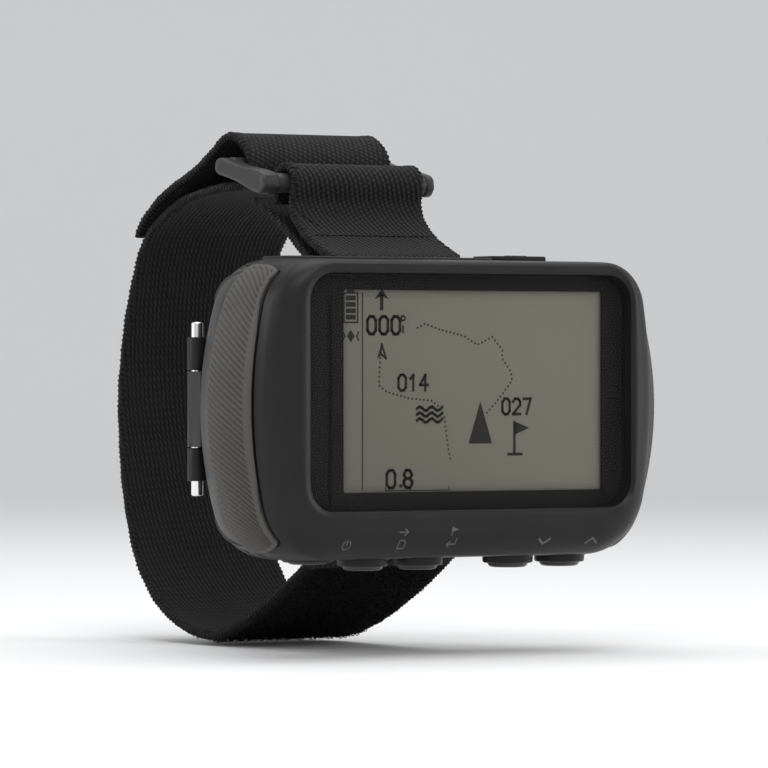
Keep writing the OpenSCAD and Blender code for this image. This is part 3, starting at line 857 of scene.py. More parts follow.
def cylinder(radius: float, start: float, end: float, origin: Sequence[float], axis: str,
             soft: float = 0.0) -> tuple[np.ndarray, Faces]:
    """Makes a cylinder with softened rims.

    Args:
        radius: Its radius.
        start: Where it starts along the axis, from the origin.
        end: Where it ends.
        origin: A point on its axis.
        axis: "x", "y" or "z".
        soft: Radius of its rims, or 0 for sharp ones.

    Returns:
        The points and the faces.
    """
    if soft <= 0:
        return lathe([(radius, start), (radius, end)], origin, axis)
    rim = [(radius - soft * (1 - math.sin(a)), soft * (1 - math.cos(a)))
           for a in np.linspace(0, math.pi / 2, 5)]
    low = [(r, start + h) for r, h in rim]
    high = [(r, end - h) for r, h in reversed(rim)]
    return lathe(low + high, origin, axis)


@dataclass
class Sizes:
    """Places that several pieces of the object share."""

    key_names: tuple[str, ...] = ("power", "page", "enter", "down", "up")
    key_xs: tuple[float, ...] = (-20.8, -11.9, -2.9, 12.3, 21.1)
    key_y: float = 8.2
    key_r: float = 2.8
    collar_r: float = 3.5
    case_bottom: float = -22.8
    cell_y: float = 12.3
    cell_zs: tuple[float, float] = (-7.95, 3.25)
    cell_r: float = 5.45
    end_x: float = -28.3
    wall: float = 1.6
    pin: tuple[float, float] = (-31.6, 19.2)
    knuckle_r: float = 1.3
    case_z: float = -2.35
    strap_x: float = 0.3
    top_bar: tuple[float, float] = (19.4, 16.9)
    low_bar: tuple[float, float] = (19.4, -19.5)
    screws: tuple[tuple[float, float], ...] = ((-25.2, -17.2), (27.0, -16.6), (-24.0, 13.4), (26.6, 13.4))
    usb: tuple[float, float] = (17.9, 15.3)
    pad_top: float = 18.6
    cap_z: float = 18.0

    def cell_bores(self) -> list[tuple[np.ndarray, Faces]]:
        """Makes the two cylinders that open the case's end for the cells."""
        return [cylinder(self.cell_r, self.end_x - 1, self.end_x + self.wall + 0.5, (0, self.cell_y, z), "x")
                for z in self.cell_zs]


@dataclass
class FrontCase:
    """Front shell: rim round the window, tapered sides, key collars and the ledges inside."""

    sizes: Sizes
    step: float = 3.0
    back: float = 11.8
    hollow: float = 2.2

    def rings(self) -> list[np.ndarray]:
        """Rings of the shell's section, from the picture's opening out and round to the inside."""
        picture = Slice(self.hollow, 23.4, 15.0, -14.8, 0.8, 0.8, 0, 1.7)
        window = Slice(1.3, 26.4, 15.9, -15.9, 3.7, 3.7, 0, 0.5)
        rims = [Slice(-0.75, 26.55, 16.1, -16.1, 3.8, 3.8, 0, 0.45),
                Slice(-1.05, 26.9, 16.45, -16.45, 4.1, 4.1, 0, 0.35),
                Slice(-1.2, 27.35, 16.85, -16.85, 4.5, 4.6, 0.1, 0.15)]
        rings = [picture.ring(), picture.inset(0, 1.3).ring(), window.ring()]
        rings += [s.ring() for s in rims]
        skin = SEATS.run()
        rings += [s.ring() for s in skin if s.depth <= self.step]
        end = self.sizes.end_x
        rings.append(SEATS.at(self.step).ring(end))
        rings += [s.ring(end) for s in skin if s.depth > self.step]
        wall = self.sizes.wall
        for depth in (self.back, 9.5, 7.5, 5.5, 4.0, 3.0, self.hollow):
            rings.append(SEATS.at(depth).inset(wall, depth).ring(end + wall))
        return rings

    def collar(self, x: float, height: float) -> tuple[np.ndarray, Faces]:
        """Makes the round collar of one key, open in the middle."""
        bore, rim, floor = self.sizes.key_r + 0.1, self.sizes.collar_r, self.sizes.case_bottom
        low = floor - height
        section = [(bore, floor + 1.2), (bore, low + 0.12), (bore + 0.12, low), (rim - 0.28, low),
                   (rim - 0.08, low + 0.1), (rim, low + 0.3), (rim + 0.02, floor - 0.12),
                   (rim + 0.3, floor + 0.12), (rim + 0.35, floor + 0.5), (rim - 0.2, floor + 1.2)]
        rings = []
        for turn in np.radians(np.arange(56) * 360 / 56):
            rings.append(np.array([(x + r * math.cos(turn), self.sizes.key_y + r * math.sin(turn), z)
                                   for r, z in section]))
        return loft(rings, closed=True)

    def build(self, palette: Palette) -> bpy.types.Object:
        """Makes the shell and dresses it."""
        s = self.sizes
        shell = make_piece("front_case", *loft(self.rings(), closed=True), crease=30)
        cuts = s.cell_bores()
        cuts += [cylinder(s.key_r + 0.12, s.case_bottom - 2, s.case_bottom + 3, (x, s.key_y, 0), "z")
                 for x in s.key_xs]
        carve(shell, cuts, crease=30)
        heights = [0.3] + [1.0] * 4
        collars = [make_piece("collar", *self.collar(x, h)) for x, h in zip(s.key_xs, heights)]
        shell = joined("front_case", [shell, *collars], 30)
        palette.dress(shell, "shell", "case")
        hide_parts("front_shell")
        return shell


@dataclass
class BackCase:
    """Back shell with its raised pad, strap lugs, hinge ears and the socket's opening."""

    sizes: Sizes
    front: float = 12.2
    back_wall: float = 20.4
    ear: float = 1.6
    slot_front: float = 16.3
    slot_floor: float = 2.9

    def rings(self) -> list[np.ndarray]:
        """Rings of the shell from the inside of its back round to the outside."""
        end, wall = self.sizes.end_x, self.sizes.wall
        skin = [s for s in REAR.run() if s.depth > self.front]
        rings = [REAR.at(self.back_wall).inset(wall + 0.6).ring(end + wall)]
        rings += [REAR.at(d).inset(wall, d).ring(end + wall) for d in (19.0, 17.0, 15.0, self.front)]
        rings.append(REAR.at(self.front).ring(end))
        rings += [s.ring(end) for s in skin]
        last = skin[-1]
        rings += [last.inset(0.7, last.depth).ring(end), last.inset(6.0, last.depth).ring(end)]
        return rings

    def lug(self, bar: tuple[float, float], width: float, up: int) -> tuple[tuple[np.ndarray, Faces], ...]:
        """Makes the block that carries one strap bar and the slot that is cut in it."""
        s = self.sizes
        half = width / 2 + 0.6
        outer = s.pad_top if up > 0 else s.case_bottom + 0.1
        inner = bar[1] - up * (self.slot_floor + 1.4)
        solid = block((s.strap_x - half - self.ear, self.slot_front - 1.4, min(inner, outer)),
                      (s.strap_x + half + self.ear, bar[0] + 1.8, max(inner, outer)))
        floor = bar[1] - up * self.slot_floor
        slot = block((s.strap_x - half, self.slot_front, min(floor, up * 40)),
                     (s.strap_x + half, 40, max(floor, up * 40)))
        return solid, slot

    def ears(self) -> list[bpy.types.Object]:
        """Makes the two outer knuckles and the ears that carry them."""
        s = self.sizes
        made = []
        for sign in (-1, 1):
            middle = s.case_z + sign * 7.55
            low, high = middle - 2.25, middle + 2.25
            made.append(make_piece("knuckle", *cylinder(s.knuckle_r, low, high, (*s.pin, 0), "z", 0.12)))
            made.append(bevelled("ear", block((s.pin[0], s.pin[1] - 1.2, low + 0.05),
                                              (s.end_x + 1, s.pin[1] + 1.2, high - 0.05)), 0.15))
        return made

    def build(self, palette: Palette) -> bpy.types.Object:
        """Makes the shell and dresses it."""
        s = self.sizes
        shell = make_piece("back_case", *loft(self.rings(), caps=True), crease=30)
        pad = bevelled("pad", block((-21, 13.2, 15.6), (21, 19.6, s.pad_top)), 0.35)
        upper, upper_slot = self.lug(s.top_bar, 22, 1)
        lower, lower_slot = self.lug(s.low_bar, 24, -1)
        lugs = [bevelled("lug", upper, 0.3), bevelled("lug", lower, 0.3)]
        for extra in (pad, *lugs):
            combine(shell, extra, "UNION")
        cuts = [upper_slot, lower_slot]
        cuts += [cylinder(1.6, 17.3, 30, (x, 0, z), "y") for x, z in s.screws]
        cuts += s.cell_bores()
        x, y = s.usb
        cuts.append(block((x - 4.3, y - 2.45, 15.9), (x + 4.3, y + 2.45, 20)))
        cuts.append(block((x - 4.7, 12.2, s.cap_z - 0.05), (x + 4.7, 19.2, 20)))
        carve(shell, cuts, crease=30)
        shell = joined("back_case", [shell, *self.ears()], 30)
        palette.dress(shell, "shell", "case")
        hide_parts("back_shell")
        return shell


@dataclass
class Grip:
    """Ribbed rubber grip round one end of the case."""

    side: Side
    front: float
    inner: float
    clear_x: float = 0.0
    clear_y: float = 0.0
    back: float = 9.95
    pitch: float = 0.86
    slope: float = 0.56
    depth: float = 0.26
    border: float = 0.55
    thickness: float = 0.72
    rows: int = 70
    columns: int = 420

    def build(self, palette: Palette, body: str, node: str) -> bpy.types.Object:
        """Makes the grip and dresses it.

        Args:
            palette: The finishes.
            body: Body that it rides on.
            node: CAD node that it stands for.

        Returns:
            The piece.
        """
        depths = np.linspace(self.front, self.back, self.rows)
        grid = GRIPS.patch(self.side, depths, self.inner, self.columns)
        swing_room = np.clip((self.clear_x - np.abs(grid[:, :, 0])) / 0.9, 0, 1) * self.clear_y
        grid[:, :, 1] += swing_room * (1 - np.clip((grid[:, :, 1] - self.front) / 2, 0, 1))
        across = np.gradient(grid, axis=0)
        down = np.gradient(grid, axis=1)
        normal = np.cross(down, across)
        normal /= np.linalg.norm(normal, axis=2)[:, :, None]
        outward = np.sign(normal[self.rows // 2, self.columns // 2, 0]) * self.side.value
        normal *= outward
        walked = np.cumsum(np.linalg.norm(down, axis=2), axis=1)
        total = walked[:, -1:]
        phase = (walked + self.slope * depths[:, None]) / self.pitch
        wave = np.abs((phase % 1.0) - 0.5) * 2
        groove = np.clip((0.62 - wave) / 0.5, 0, 1) ** 0.7
        edges = np.minimum(depths - self.front, self.back - depths)[:, None]
        ends = np.minimum(walked, total - walked)
        inside = np.clip((edges - self.border) / 0.25, 0, 1) * np.clip((ends - self.border) / 0.25, 0, 1)
        rim = 0.12 * (1 - np.clip(np.minimum(edges, ends) / 0.22, 0, 1)) ** 2
        outer = grid - normal * (groove * inside * self.depth + rim)[:, :, None]
        inner = grid - normal * self.thickness
        piece = make_piece("grip_" + self.side.name.lower() + "_rubber", *slab(outer, inner), crease=50)
        palette.dress(piece, "grip_rubber", body)
        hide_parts(node)
        return piece


@dataclass
class BatteryDoor:
    """Door over the ends of the cells, with the middle knuckle of its hinge."""

    sizes: Sizes
    front: float = 3.35
    back: float = 17.6
    inner: float = 28.6
    thickness: float = 1.3

    def bulkhead(self) -> tuple[np.ndarray, Faces]:
        """Makes the flat wall that closes on the seal, open where the cells come through."""
        depths = np.linspace(self.front + 0.1, self.back - 0.1, 24)
        upper, lower = [], []
        for depth in depths:
            half = (SEATS if depth < 11.6 else REAR).at(depth).inset(0.5).right()
            widest = int(np.argmax(half[:, 0]))
            above, below = half[:widest], half[widest:][::-1]
            upper.append((depth, float(np.interp(self.inner, above[:, 0], above[:, 1]))))
            lower.append((depth, float(np.interp(self.inner, below[:, 0], below[:, 1]))))
        rim = resample(np.array(upper + lower[::-1] + upper[:1]), 97)[:-1]
        hole = Slice(0, 4.55, 11.6, -11.6, 1.2, 1.2).ring()
        hole = resample(np.concatenate([hole[:, [0, 2]], hole[:1, [0, 2]]]), 97)[:-1]
        hole = hole + (11.75, self.sizes.case_z)
        start = int(np.argmin(np.linalg.norm(hole - rim[0], axis=1)))
        hole = np.roll(hole, -start, axis=0)
        x0, x1 = -self.inner, -self.inner - self.thickness
        rings = [np.insert(rim, 0, x0, axis=1), np.insert(rim, 0, x1, axis=1),
                 np.insert(hole, 0, x1, axis=1), np.insert(hole, 0, x0, axis=1)]
        return loft(rings, closed=True)

    def build(self, palette: Palette) -> bpy.types.Object:
        """Makes the door and dresses it."""
        s = self.sizes
        seat = SEATS.patch(Side.LEFT, np.linspace(self.front, 11.55, 16), self.inner, 90)
        band = REAR.patch(Side.LEFT, np.linspace(11.7, self.back, 14), self.inner, 90)
        grid = np.concatenate([seat, band])
        normal = np.cross(np.gradient(grid, axis=1), np.gradient(grid, axis=0))
        normal /= np.linalg.norm(normal, axis=2)[:, :, None]
        normal *= -np.sign(normal[8, 45, 0])
        pieces = [bevelled("battery_door_shell", slab(grid, grid - normal * self.thickness), 0.15, 40),
                  make_piece("bulkhead", *self.bulkhead())]
        low, high = s.case_z - 5.15, s.case_z + 5.15
        pieces.append(make_piece("knuckle", *cylinder(s.knuckle_r, low, high, (*s.pin, 0), "z", 0.12)))
        pieces.append(bevelled("arm", block((s.pin[0] - 1.2, self.back - 1.2, low + 0.05),
                                            (s.pin[0] + 1.2, s.pin[1] - 0.2, high - 0.05)), 0.15))
        ribs = [block((-32.0, 4.8, z - 0.5), (-29.6, 16.6, z + 0.5)) for z in (-10.35, -2.35, 5.65)]
        pieces += [bevelled("rib", rib, 0.12) for rib in ribs]
        door = joined("battery_door_shell", pieces, 30)
        palette.dress(door, "door_plastic", "door")
        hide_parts("battery_door")
        return door


@dataclass
class Keys:
    """The five keys under the case, each with its stop flange and stem."""

    sizes: Sizes
    flange_top: float = -20.4
    flange_r: float = 3.15
    stem_top: float = -18.85

    def build(self, palette: Palette) -> None:
        """Makes and dresses every key."""
        s = self.sizes
        for name, x in zip(s.key_names, s.key_xs):
            low = s.case_bottom - (0.6 if name == "power" else 1.6)
            r = s.key_r
            profile = [(0, low + 0.03), (0.9, low + 0.02), (r - 0.75, low), (r - 0.42, low + 0.06),
                       (r - 0.16, low + 0.2), (r - 0.02, low + 0.46), (r, low + 0.7),
                       (r, self.flange_top - 0.5), (self.flange_r, self.flange_top - 0.5),
                       (self.flange_r, self.flange_top), (1.0, self.flange_top), (1.0, self.stem_top),
                       (0, self.stem_top)]
            key = make_piece(name + "_key", *lathe(profile, (x, s.key_y, 0), "z", 64), crease=40)
            palette.dress(key, "key_plastic", name + "_button")
            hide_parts(name + "_button")


@dataclass
class Fasteners:
    """Hinge pin, case screws and the bars that hold the straps."""

    sizes: Sizes

    def pin(self, palette: Palette) -> None:
        """Makes the hinge pin, whose domed ends show past the knuckles."""
        s = self.sizes
        half = 11.85
        pin = make_piece("hinge_rod", *cylinder(0.8, s.case_z - half, s.case_z + half, (*s.pin, 0), "z", 0.3))
        palette.dress(pin, "steel", "case")
        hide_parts("hinge_pin")

    def screws(self, palette: Palette) -> None:
        """Makes the four screws with their crossed recess."""
        made = []
        for x, z in self.sizes.screws:
            head = [(0.8, 8.4), (0.8, 17.25), (1.42, 17.3), (1.5, 17.4), (1.5, 17.75), (1.3, 18.0),
                    (0.8, 18.1), (0.01, 18.1)]
            made.append(make_piece("screw", *lathe(head, (x, 0, z), "y", 32)))
            bars = [block((x - 0.9, 17.75, z - 0.19), (x + 0.9, 19, z + 0.19)),
                    block((x - 0.19, 17.75, z - 0.9), (x + 0.19, 19, z + 0.9))]
            carve(made[-1], bars)
        screws = joined("case_screw_set", made)
        palette.dress(screws, "steel", "case")
        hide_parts("case_screws")

    def bars(self, palette: Palette) -> None:
        """Makes the two strap bars."""
        s = self.sizes
        for name, bar, width in (("upper", s.top_bar, 22), ("lower", s.low_bar, 24)):
            half = width / 2 + 2.2
            rod = make_piece(name + "_bar_rod", *cylinder(1.0, -half, half, (s.strap_x, *bar), "x", 0.2))
            palette.dress(rod, "steel", "case")
            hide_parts(name + "_strap_bar")


@dataclass
class SocketCap:
    """Rubber flap over the USB socket, with its living hinge and plug."""

    sizes: Sizes

    def build(self, palette: Palette) -> None:
        """Makes the flap and dresses it."""
        x, y = self.sizes.usb
        low, top = self.sizes.cap_z, self.sizes.cap_z + 0.9
        flap = bevelled("flap", block((x - 4.5, 13.1, low), (x + 4.5, 18.5, top)), 0.28)
        plug = bevelled("plug", block((x - 3.6, y - 1.9, 17.4), (x + 3.6, y + 1.9, low + 0.2)), 0.2)
        ribs = [bevelled("rib", block((x - 1.8 + k * 0.9, 13.5, top - 0.1),
                                      (x - 1.35 + k * 0.9, 14.6, top + 0.08)), 0.06)
                for k in range(4)]
        root = make_piece("root", *cylinder(0.45, -2.5, 2.5, (x, 18.5, low + 0.45), "x", 0.12))
        cap = joined("socket_flap", [flap, plug, root, *ribs])
        palette.dress(cap, "cap_rubber", "socket_cap")
        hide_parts("usb_cap")


# ---------------------------------------------------------------------------
# marks on the display and round the keys
# ---------------------------------------------------------------------------

DIGITS: dict[str, list[list[tuple[float, float]]]] = {
    "0": [[(0.2, 0), (0, 0.2), (0, 0.8), (0.2, 1), (0.5, 1), (0.7, 0.8), (0.7, 0.2), (0.5, 0), (0.2, 0)]],
    "1": [[(0.1, 0.75), (0.38, 1), (0.38, 0)]],
    "2": [[(0, 0.8), (0.2, 1), (0.5, 1), (0.7, 0.8), (0.7, 0.6), (0, 0), (0.7, 0)]],
    "4": [[(0.5, 0), (0.5, 1), (0, 0.35), (0.75, 0.35)]],
    "7": [[(0, 1), (0.7, 1), (0.3, 0)]],
    "8": [[(0.2, 0), (0, 0.2), (0, 0.4), (0.2, 0.53), (0.5, 0.53), (0.7, 0.75), (0.5, 1), (0.2, 1), (0, 0.75),
           (0.2, 0.53)], [(0.5, 0.53), (0.7, 0.35), (0.7, 0.2), (0.5, 0), (0.2, 0)]],
}

Outline = list[tuple[float, float]]


def stroke(points: Sequence[tuple[float, float]], width: float) -> list[Outline]:
    """Makes the rectangles of a pen line through points."""
    shapes = []
    for a, b in zip(points[:-1], points[1:]):
        along = np.array(b, float) - np.array(a, float)
        along /= max(np.linalg.norm(along), 1e-9)
        side = np.array([-along[1], along[0]]) * width / 2
        a2, b2 = np.array(a) - along * width * 0.42, np.array(b) + along * width * 0.42
        shapes.append([tuple(a2 + side), tuple(b2 + side), tuple(b2 - side), tuple(a2 - side)])
    return shapes


def disc(x: float, z: float, radius: float, count: int = 12) -> Outline:
    """Makes a round dot."""
    return [tuple(p) for p in arc((x, z), radius, 0, 360, count)[:-1]]


@dataclass
class Display:
    """What the reflective display shows: a map page with generic signs and numbers.

    Places are in millimetres on the display, which is centred at x 1.7 and height 0.1.
    """

    face: float = 1.3
    lift: float = 0.03
    pen: float = 0.43
    gap: float = 0.62

    def number(self, text: str, x: float, z: float, height: float) -> list[Outline]:
        """Writes digits with their lower left corner at x and z."""
        shapes: list[Outline] = []
        for sign in text:
            if sign == ".":
                shapes.append(disc(x + 0.12 * height, z + self.pen * 0.6, self.pen * 0.62, 8))
                x += 0.34 * height
                continue
            for line in DIGITS[sign]:
                shapes += stroke([(x + a * height * 0.82, z + b * height) for a, b in line],
                                 self.pen * height / 2.3)
            x += 0.84 * height
        return shapes

    def dotted(self, points: Sequence[tuple[float, float]]) -> list[Outline]:
        """Draws a dotted track through points."""
        line = np.array(points, float)
        length = float(np.sum(np.linalg.norm(np.diff(line, axis=0), axis=1)))
        size = 0.13
        return [[(x - size, z - size), (x + size, z - size), (x + size, z + size), (x - size, z + size)]
                for x, z in resample(line, int(length / self.gap) + 1)]

    def status(self) -> list[Outline]:
        """Draws the narrow column on the left: battery, receiver sign and the line beside them."""
        shapes = stroke([(-16.45, 13.4), (-16.45, -13.2)], 0.16)
        x, low, high = -18.35, 9.4, 13.35
        shapes += stroke([(x - 1.1, low), (x - 1.1, high), (x + 1.1, high), (x + 1.1, low),
                          (x - 1.1, low)], 0.22)
        shapes += stroke([(x - 0.45, high + 0.28), (x + 0.45, high + 0.28)], 0.34)
        for k in range(4):
            z = low + 0.38 + k * 0.86
            shapes.append([(x - 0.78, z), (x + 0.78, z), (x + 0.78, z + 0.64), (x - 0.78, z + 0.64)])
        z = 7.55
        shapes.append([(x, z + 0.85), (x + 0.62, z), (x, z - 0.85), (x - 0.62, z)])
        shapes += stroke([(x - 1.25, z + 0.55), (x - 0.95, z), (x - 1.25, z - 0.55)], 0.2)
        shapes += stroke([(x + 1.25, z + 0.55), (x + 0.95, z), (x + 1.25, z - 0.55)], 0.2)
        return shapes

    def heading(self) -> list[Outline]:
        """Draws the heading: an arrow, three digits, a degree sign and a north needle."""
        x = -13.35
        shapes = stroke([(x, 11.3), (x, 13.2)], 0.55)
        shapes.append([(x - 1.15, 12.55), (x, 14.0), (x + 1.15, 12.55), (x, 12.95)])
        shapes += self.number("000", -15.65, 7.85, 2.35)
        shapes += stroke([tuple(p) for p in arc((-9.85, 10.0), 0.32, 0, 360, 8)], 0.22)
        shapes += stroke([(-9.85, 8.9), (-9.85, 8.1)], 0.25)
        shapes.append([(x - 0.75, 4.5), (x, 6.6), (x, 5.05)])
        shapes += stroke([(x, 6.5), (x + 0.72, 4.55), (x, 5.05)], 0.3)
        return shapes

    def map_page(self) -> list[Outline]:
        """Draws the tracks, the place signs and the position mark."""
        shapes = self.dotted([(-7.5, 8.7), (-6.3, 9.25), (-3.9, 8.5), (0.2, 7.6), (2.4, 6.4), (4.9, 7.5),
                              (6.6, 5.7), (6.5, 4.6), (8.0, 2.7), (8.2, 1.5), (6.9, 0.0), (5.2, -1.8),
                              (4.0, -2.9)])
        shapes += self.dotted([(-13.6, 4.6), (-13.8, 0.9), (-12.5, 0.0), (-8.8, -0.9), (-5.2, -1.2),
                               (-4.2, -1.8), (-3.1, -3.2), (-2.5, -7.3), (-2.1, -9.1)])
        shapes.append([(2.9, -1.35), (4.85, -7.1), (0.95, -7.1)])
        shapes += self.number("014", -10.6, 0.2, 2.1)
        shapes += self.number("027", 6.6, -3.1, 2.1)
        for k in range(3):
            wave = [(-7.6 + t * 0.42, -2.3 - k * 0.8 + 0.28 * math.sin(t * 1.35)) for t in range(11)]
            shapes += stroke(wave, 0.4)
        pole = 8.6
        shapes += stroke([(pole, -8.6), (pole, -4.2)], 0.4)
        shapes.append([(pole, -4.1), (pole + 2.5, -5.0), (pole, -5.95)])
        shapes += stroke([(pole - 1.0, -8.6), (pole + 1.2, -8.6)], 0.4)
        return shapes

    def scale(self) -> list[Outline]:
        """Draws the map's scale: a number and its bar."""
        shapes = self.number("0.8", -12.5, -13.0, 2.35)
        shapes += stroke([(-12.7, -13.4), (-2.3, -13.4), (-2.3, -12.9)], 0.14)
        shapes += stroke([(-12.7, -13.4), (-12.7, -12.9)], 0.14)
        return shapes

    def build(self, palette: Palette) -> None:
        """Makes all the marks as one thin piece and dresses it."""
        shapes = self.status() + self.heading() + self.map_page() + self.scale()
        parts = []
        for shape in shapes:
            front = np.array([(x, self.face - self.lift, z) for x, z in shape])
            back = np.array([(x, self.face - 0.005, z) for x, z in shape])
            parts.append(loft([front, back], caps=True))
        marks = make_piece("display_marks", *merged(parts))
        palette.dress(marks, "marks", "case", "display")


@dataclass
class Legends:
    """Generic signs over the keys, laid on the sloping rim below the window."""

    sizes: Sizes
    thickness: float = 0.03
    pen: float = 0.17

    def signs(self) -> list[Outline]:
        """Draws the signs in the plane of the screen."""
        p = self.pen
        shapes = stroke([tuple(q) for q in arc((-19.9, -20.6), 0.62, 120, 420, 14)], p)
        shapes += stroke([(-19.9, -20.0), (-19.9, -20.55)], p)
        shapes += stroke([(-11.5, -21.2), (-11.5, -20.05), (-10.8, -20.05), (-10.45, -20.4), (-10.45, -21.2),
                          (-11.5, -21.2)], p)
        shapes += stroke([(-11.9, -18.95), (-10.5, -18.95)], p) + stroke([(-10.95, -18.5), (-10.4, -18.95),
                                                                         (-10.95, -19.4)], p)
        shapes += stroke([(-2.2, -20.0), (-2.2, -20.75), (-3.5, -20.75)], p)
        shapes += stroke([(-3.1, -20.35), (-3.55, -20.75), (-3.1, -21.15)], p)
        shapes += stroke([(-3.2, -18.4), (-3.2, -19.5)], p)
        shapes += [[(-3.2, -18.35), (-2.2, -18.7), (-3.2, -19.05)]]
        shapes += stroke([(11.7, -20.3), (12.6, -20.95), (13.5, -20.3)], p * 1.7)
        shapes += stroke([(19.9, -20.95), (20.8, -20.3), (21.7, -20.95)], p * 1.7)
        return shapes

    def build(self, palette: Palette, case: bpy.types.Object) -> None:
        """Lays the signs on the case and dresses them.

        Args:
            palette: The finishes.
            case: The front shell, on whose surface they lie.
        """
        tree = BVHTree.FromPolygons([v.co.copy() for v in case.data.vertices],
                                    [tuple(f.vertices) for f in case.data.polygons])
        parts = []
        for shape in self.signs():
            corners = np.array(shape)
            if len(corners) == 4:
                steps = max(int(np.linalg.norm(corners[1] - corners[0]) / 0.12), 1)
                t = np.linspace(0, 1, steps + 1)[:, None]
                ring = np.concatenate([corners[0] + (corners[1] - corners[0]) * t,
                                       (corners[3] + (corners[2] - corners[3]) * t)[::-1]])
                faces = [(k, k + 1, 2 * steps - k, 2 * steps + 1 - k) for k in range(steps)]
            else:
                ring, faces = corners, [tuple(range(len(corners)))]
            low, high = [], []
            for x, z in ring:
                place, normal, _, _ = tree.ray_cast(Vector((x * MM, -0.02, z * MM)), Vector((0, 1, 0)))
                hit = np.array(place) / MM
                low.append(hit - np.array(normal) * 0.02)
                high.append(hit + np.array(normal) * self.thickness)
            count = len(ring)
            sides = [(k, (k + 1) % count, count + (k + 1) % count, count + k) for k in range(count)]
            all_faces = faces + [tuple(count + i for i in reversed(f)) for f in faces] + sides
            parts.append((np.array(low + high), all_faces))
        legends = make_piece("key_legends", *merged(parts))
        palette.dress(legends, "legend", "case", "shell")


# ---------------------------------------------------------------------------
# straps
# ---------------------------------------------------------------------------


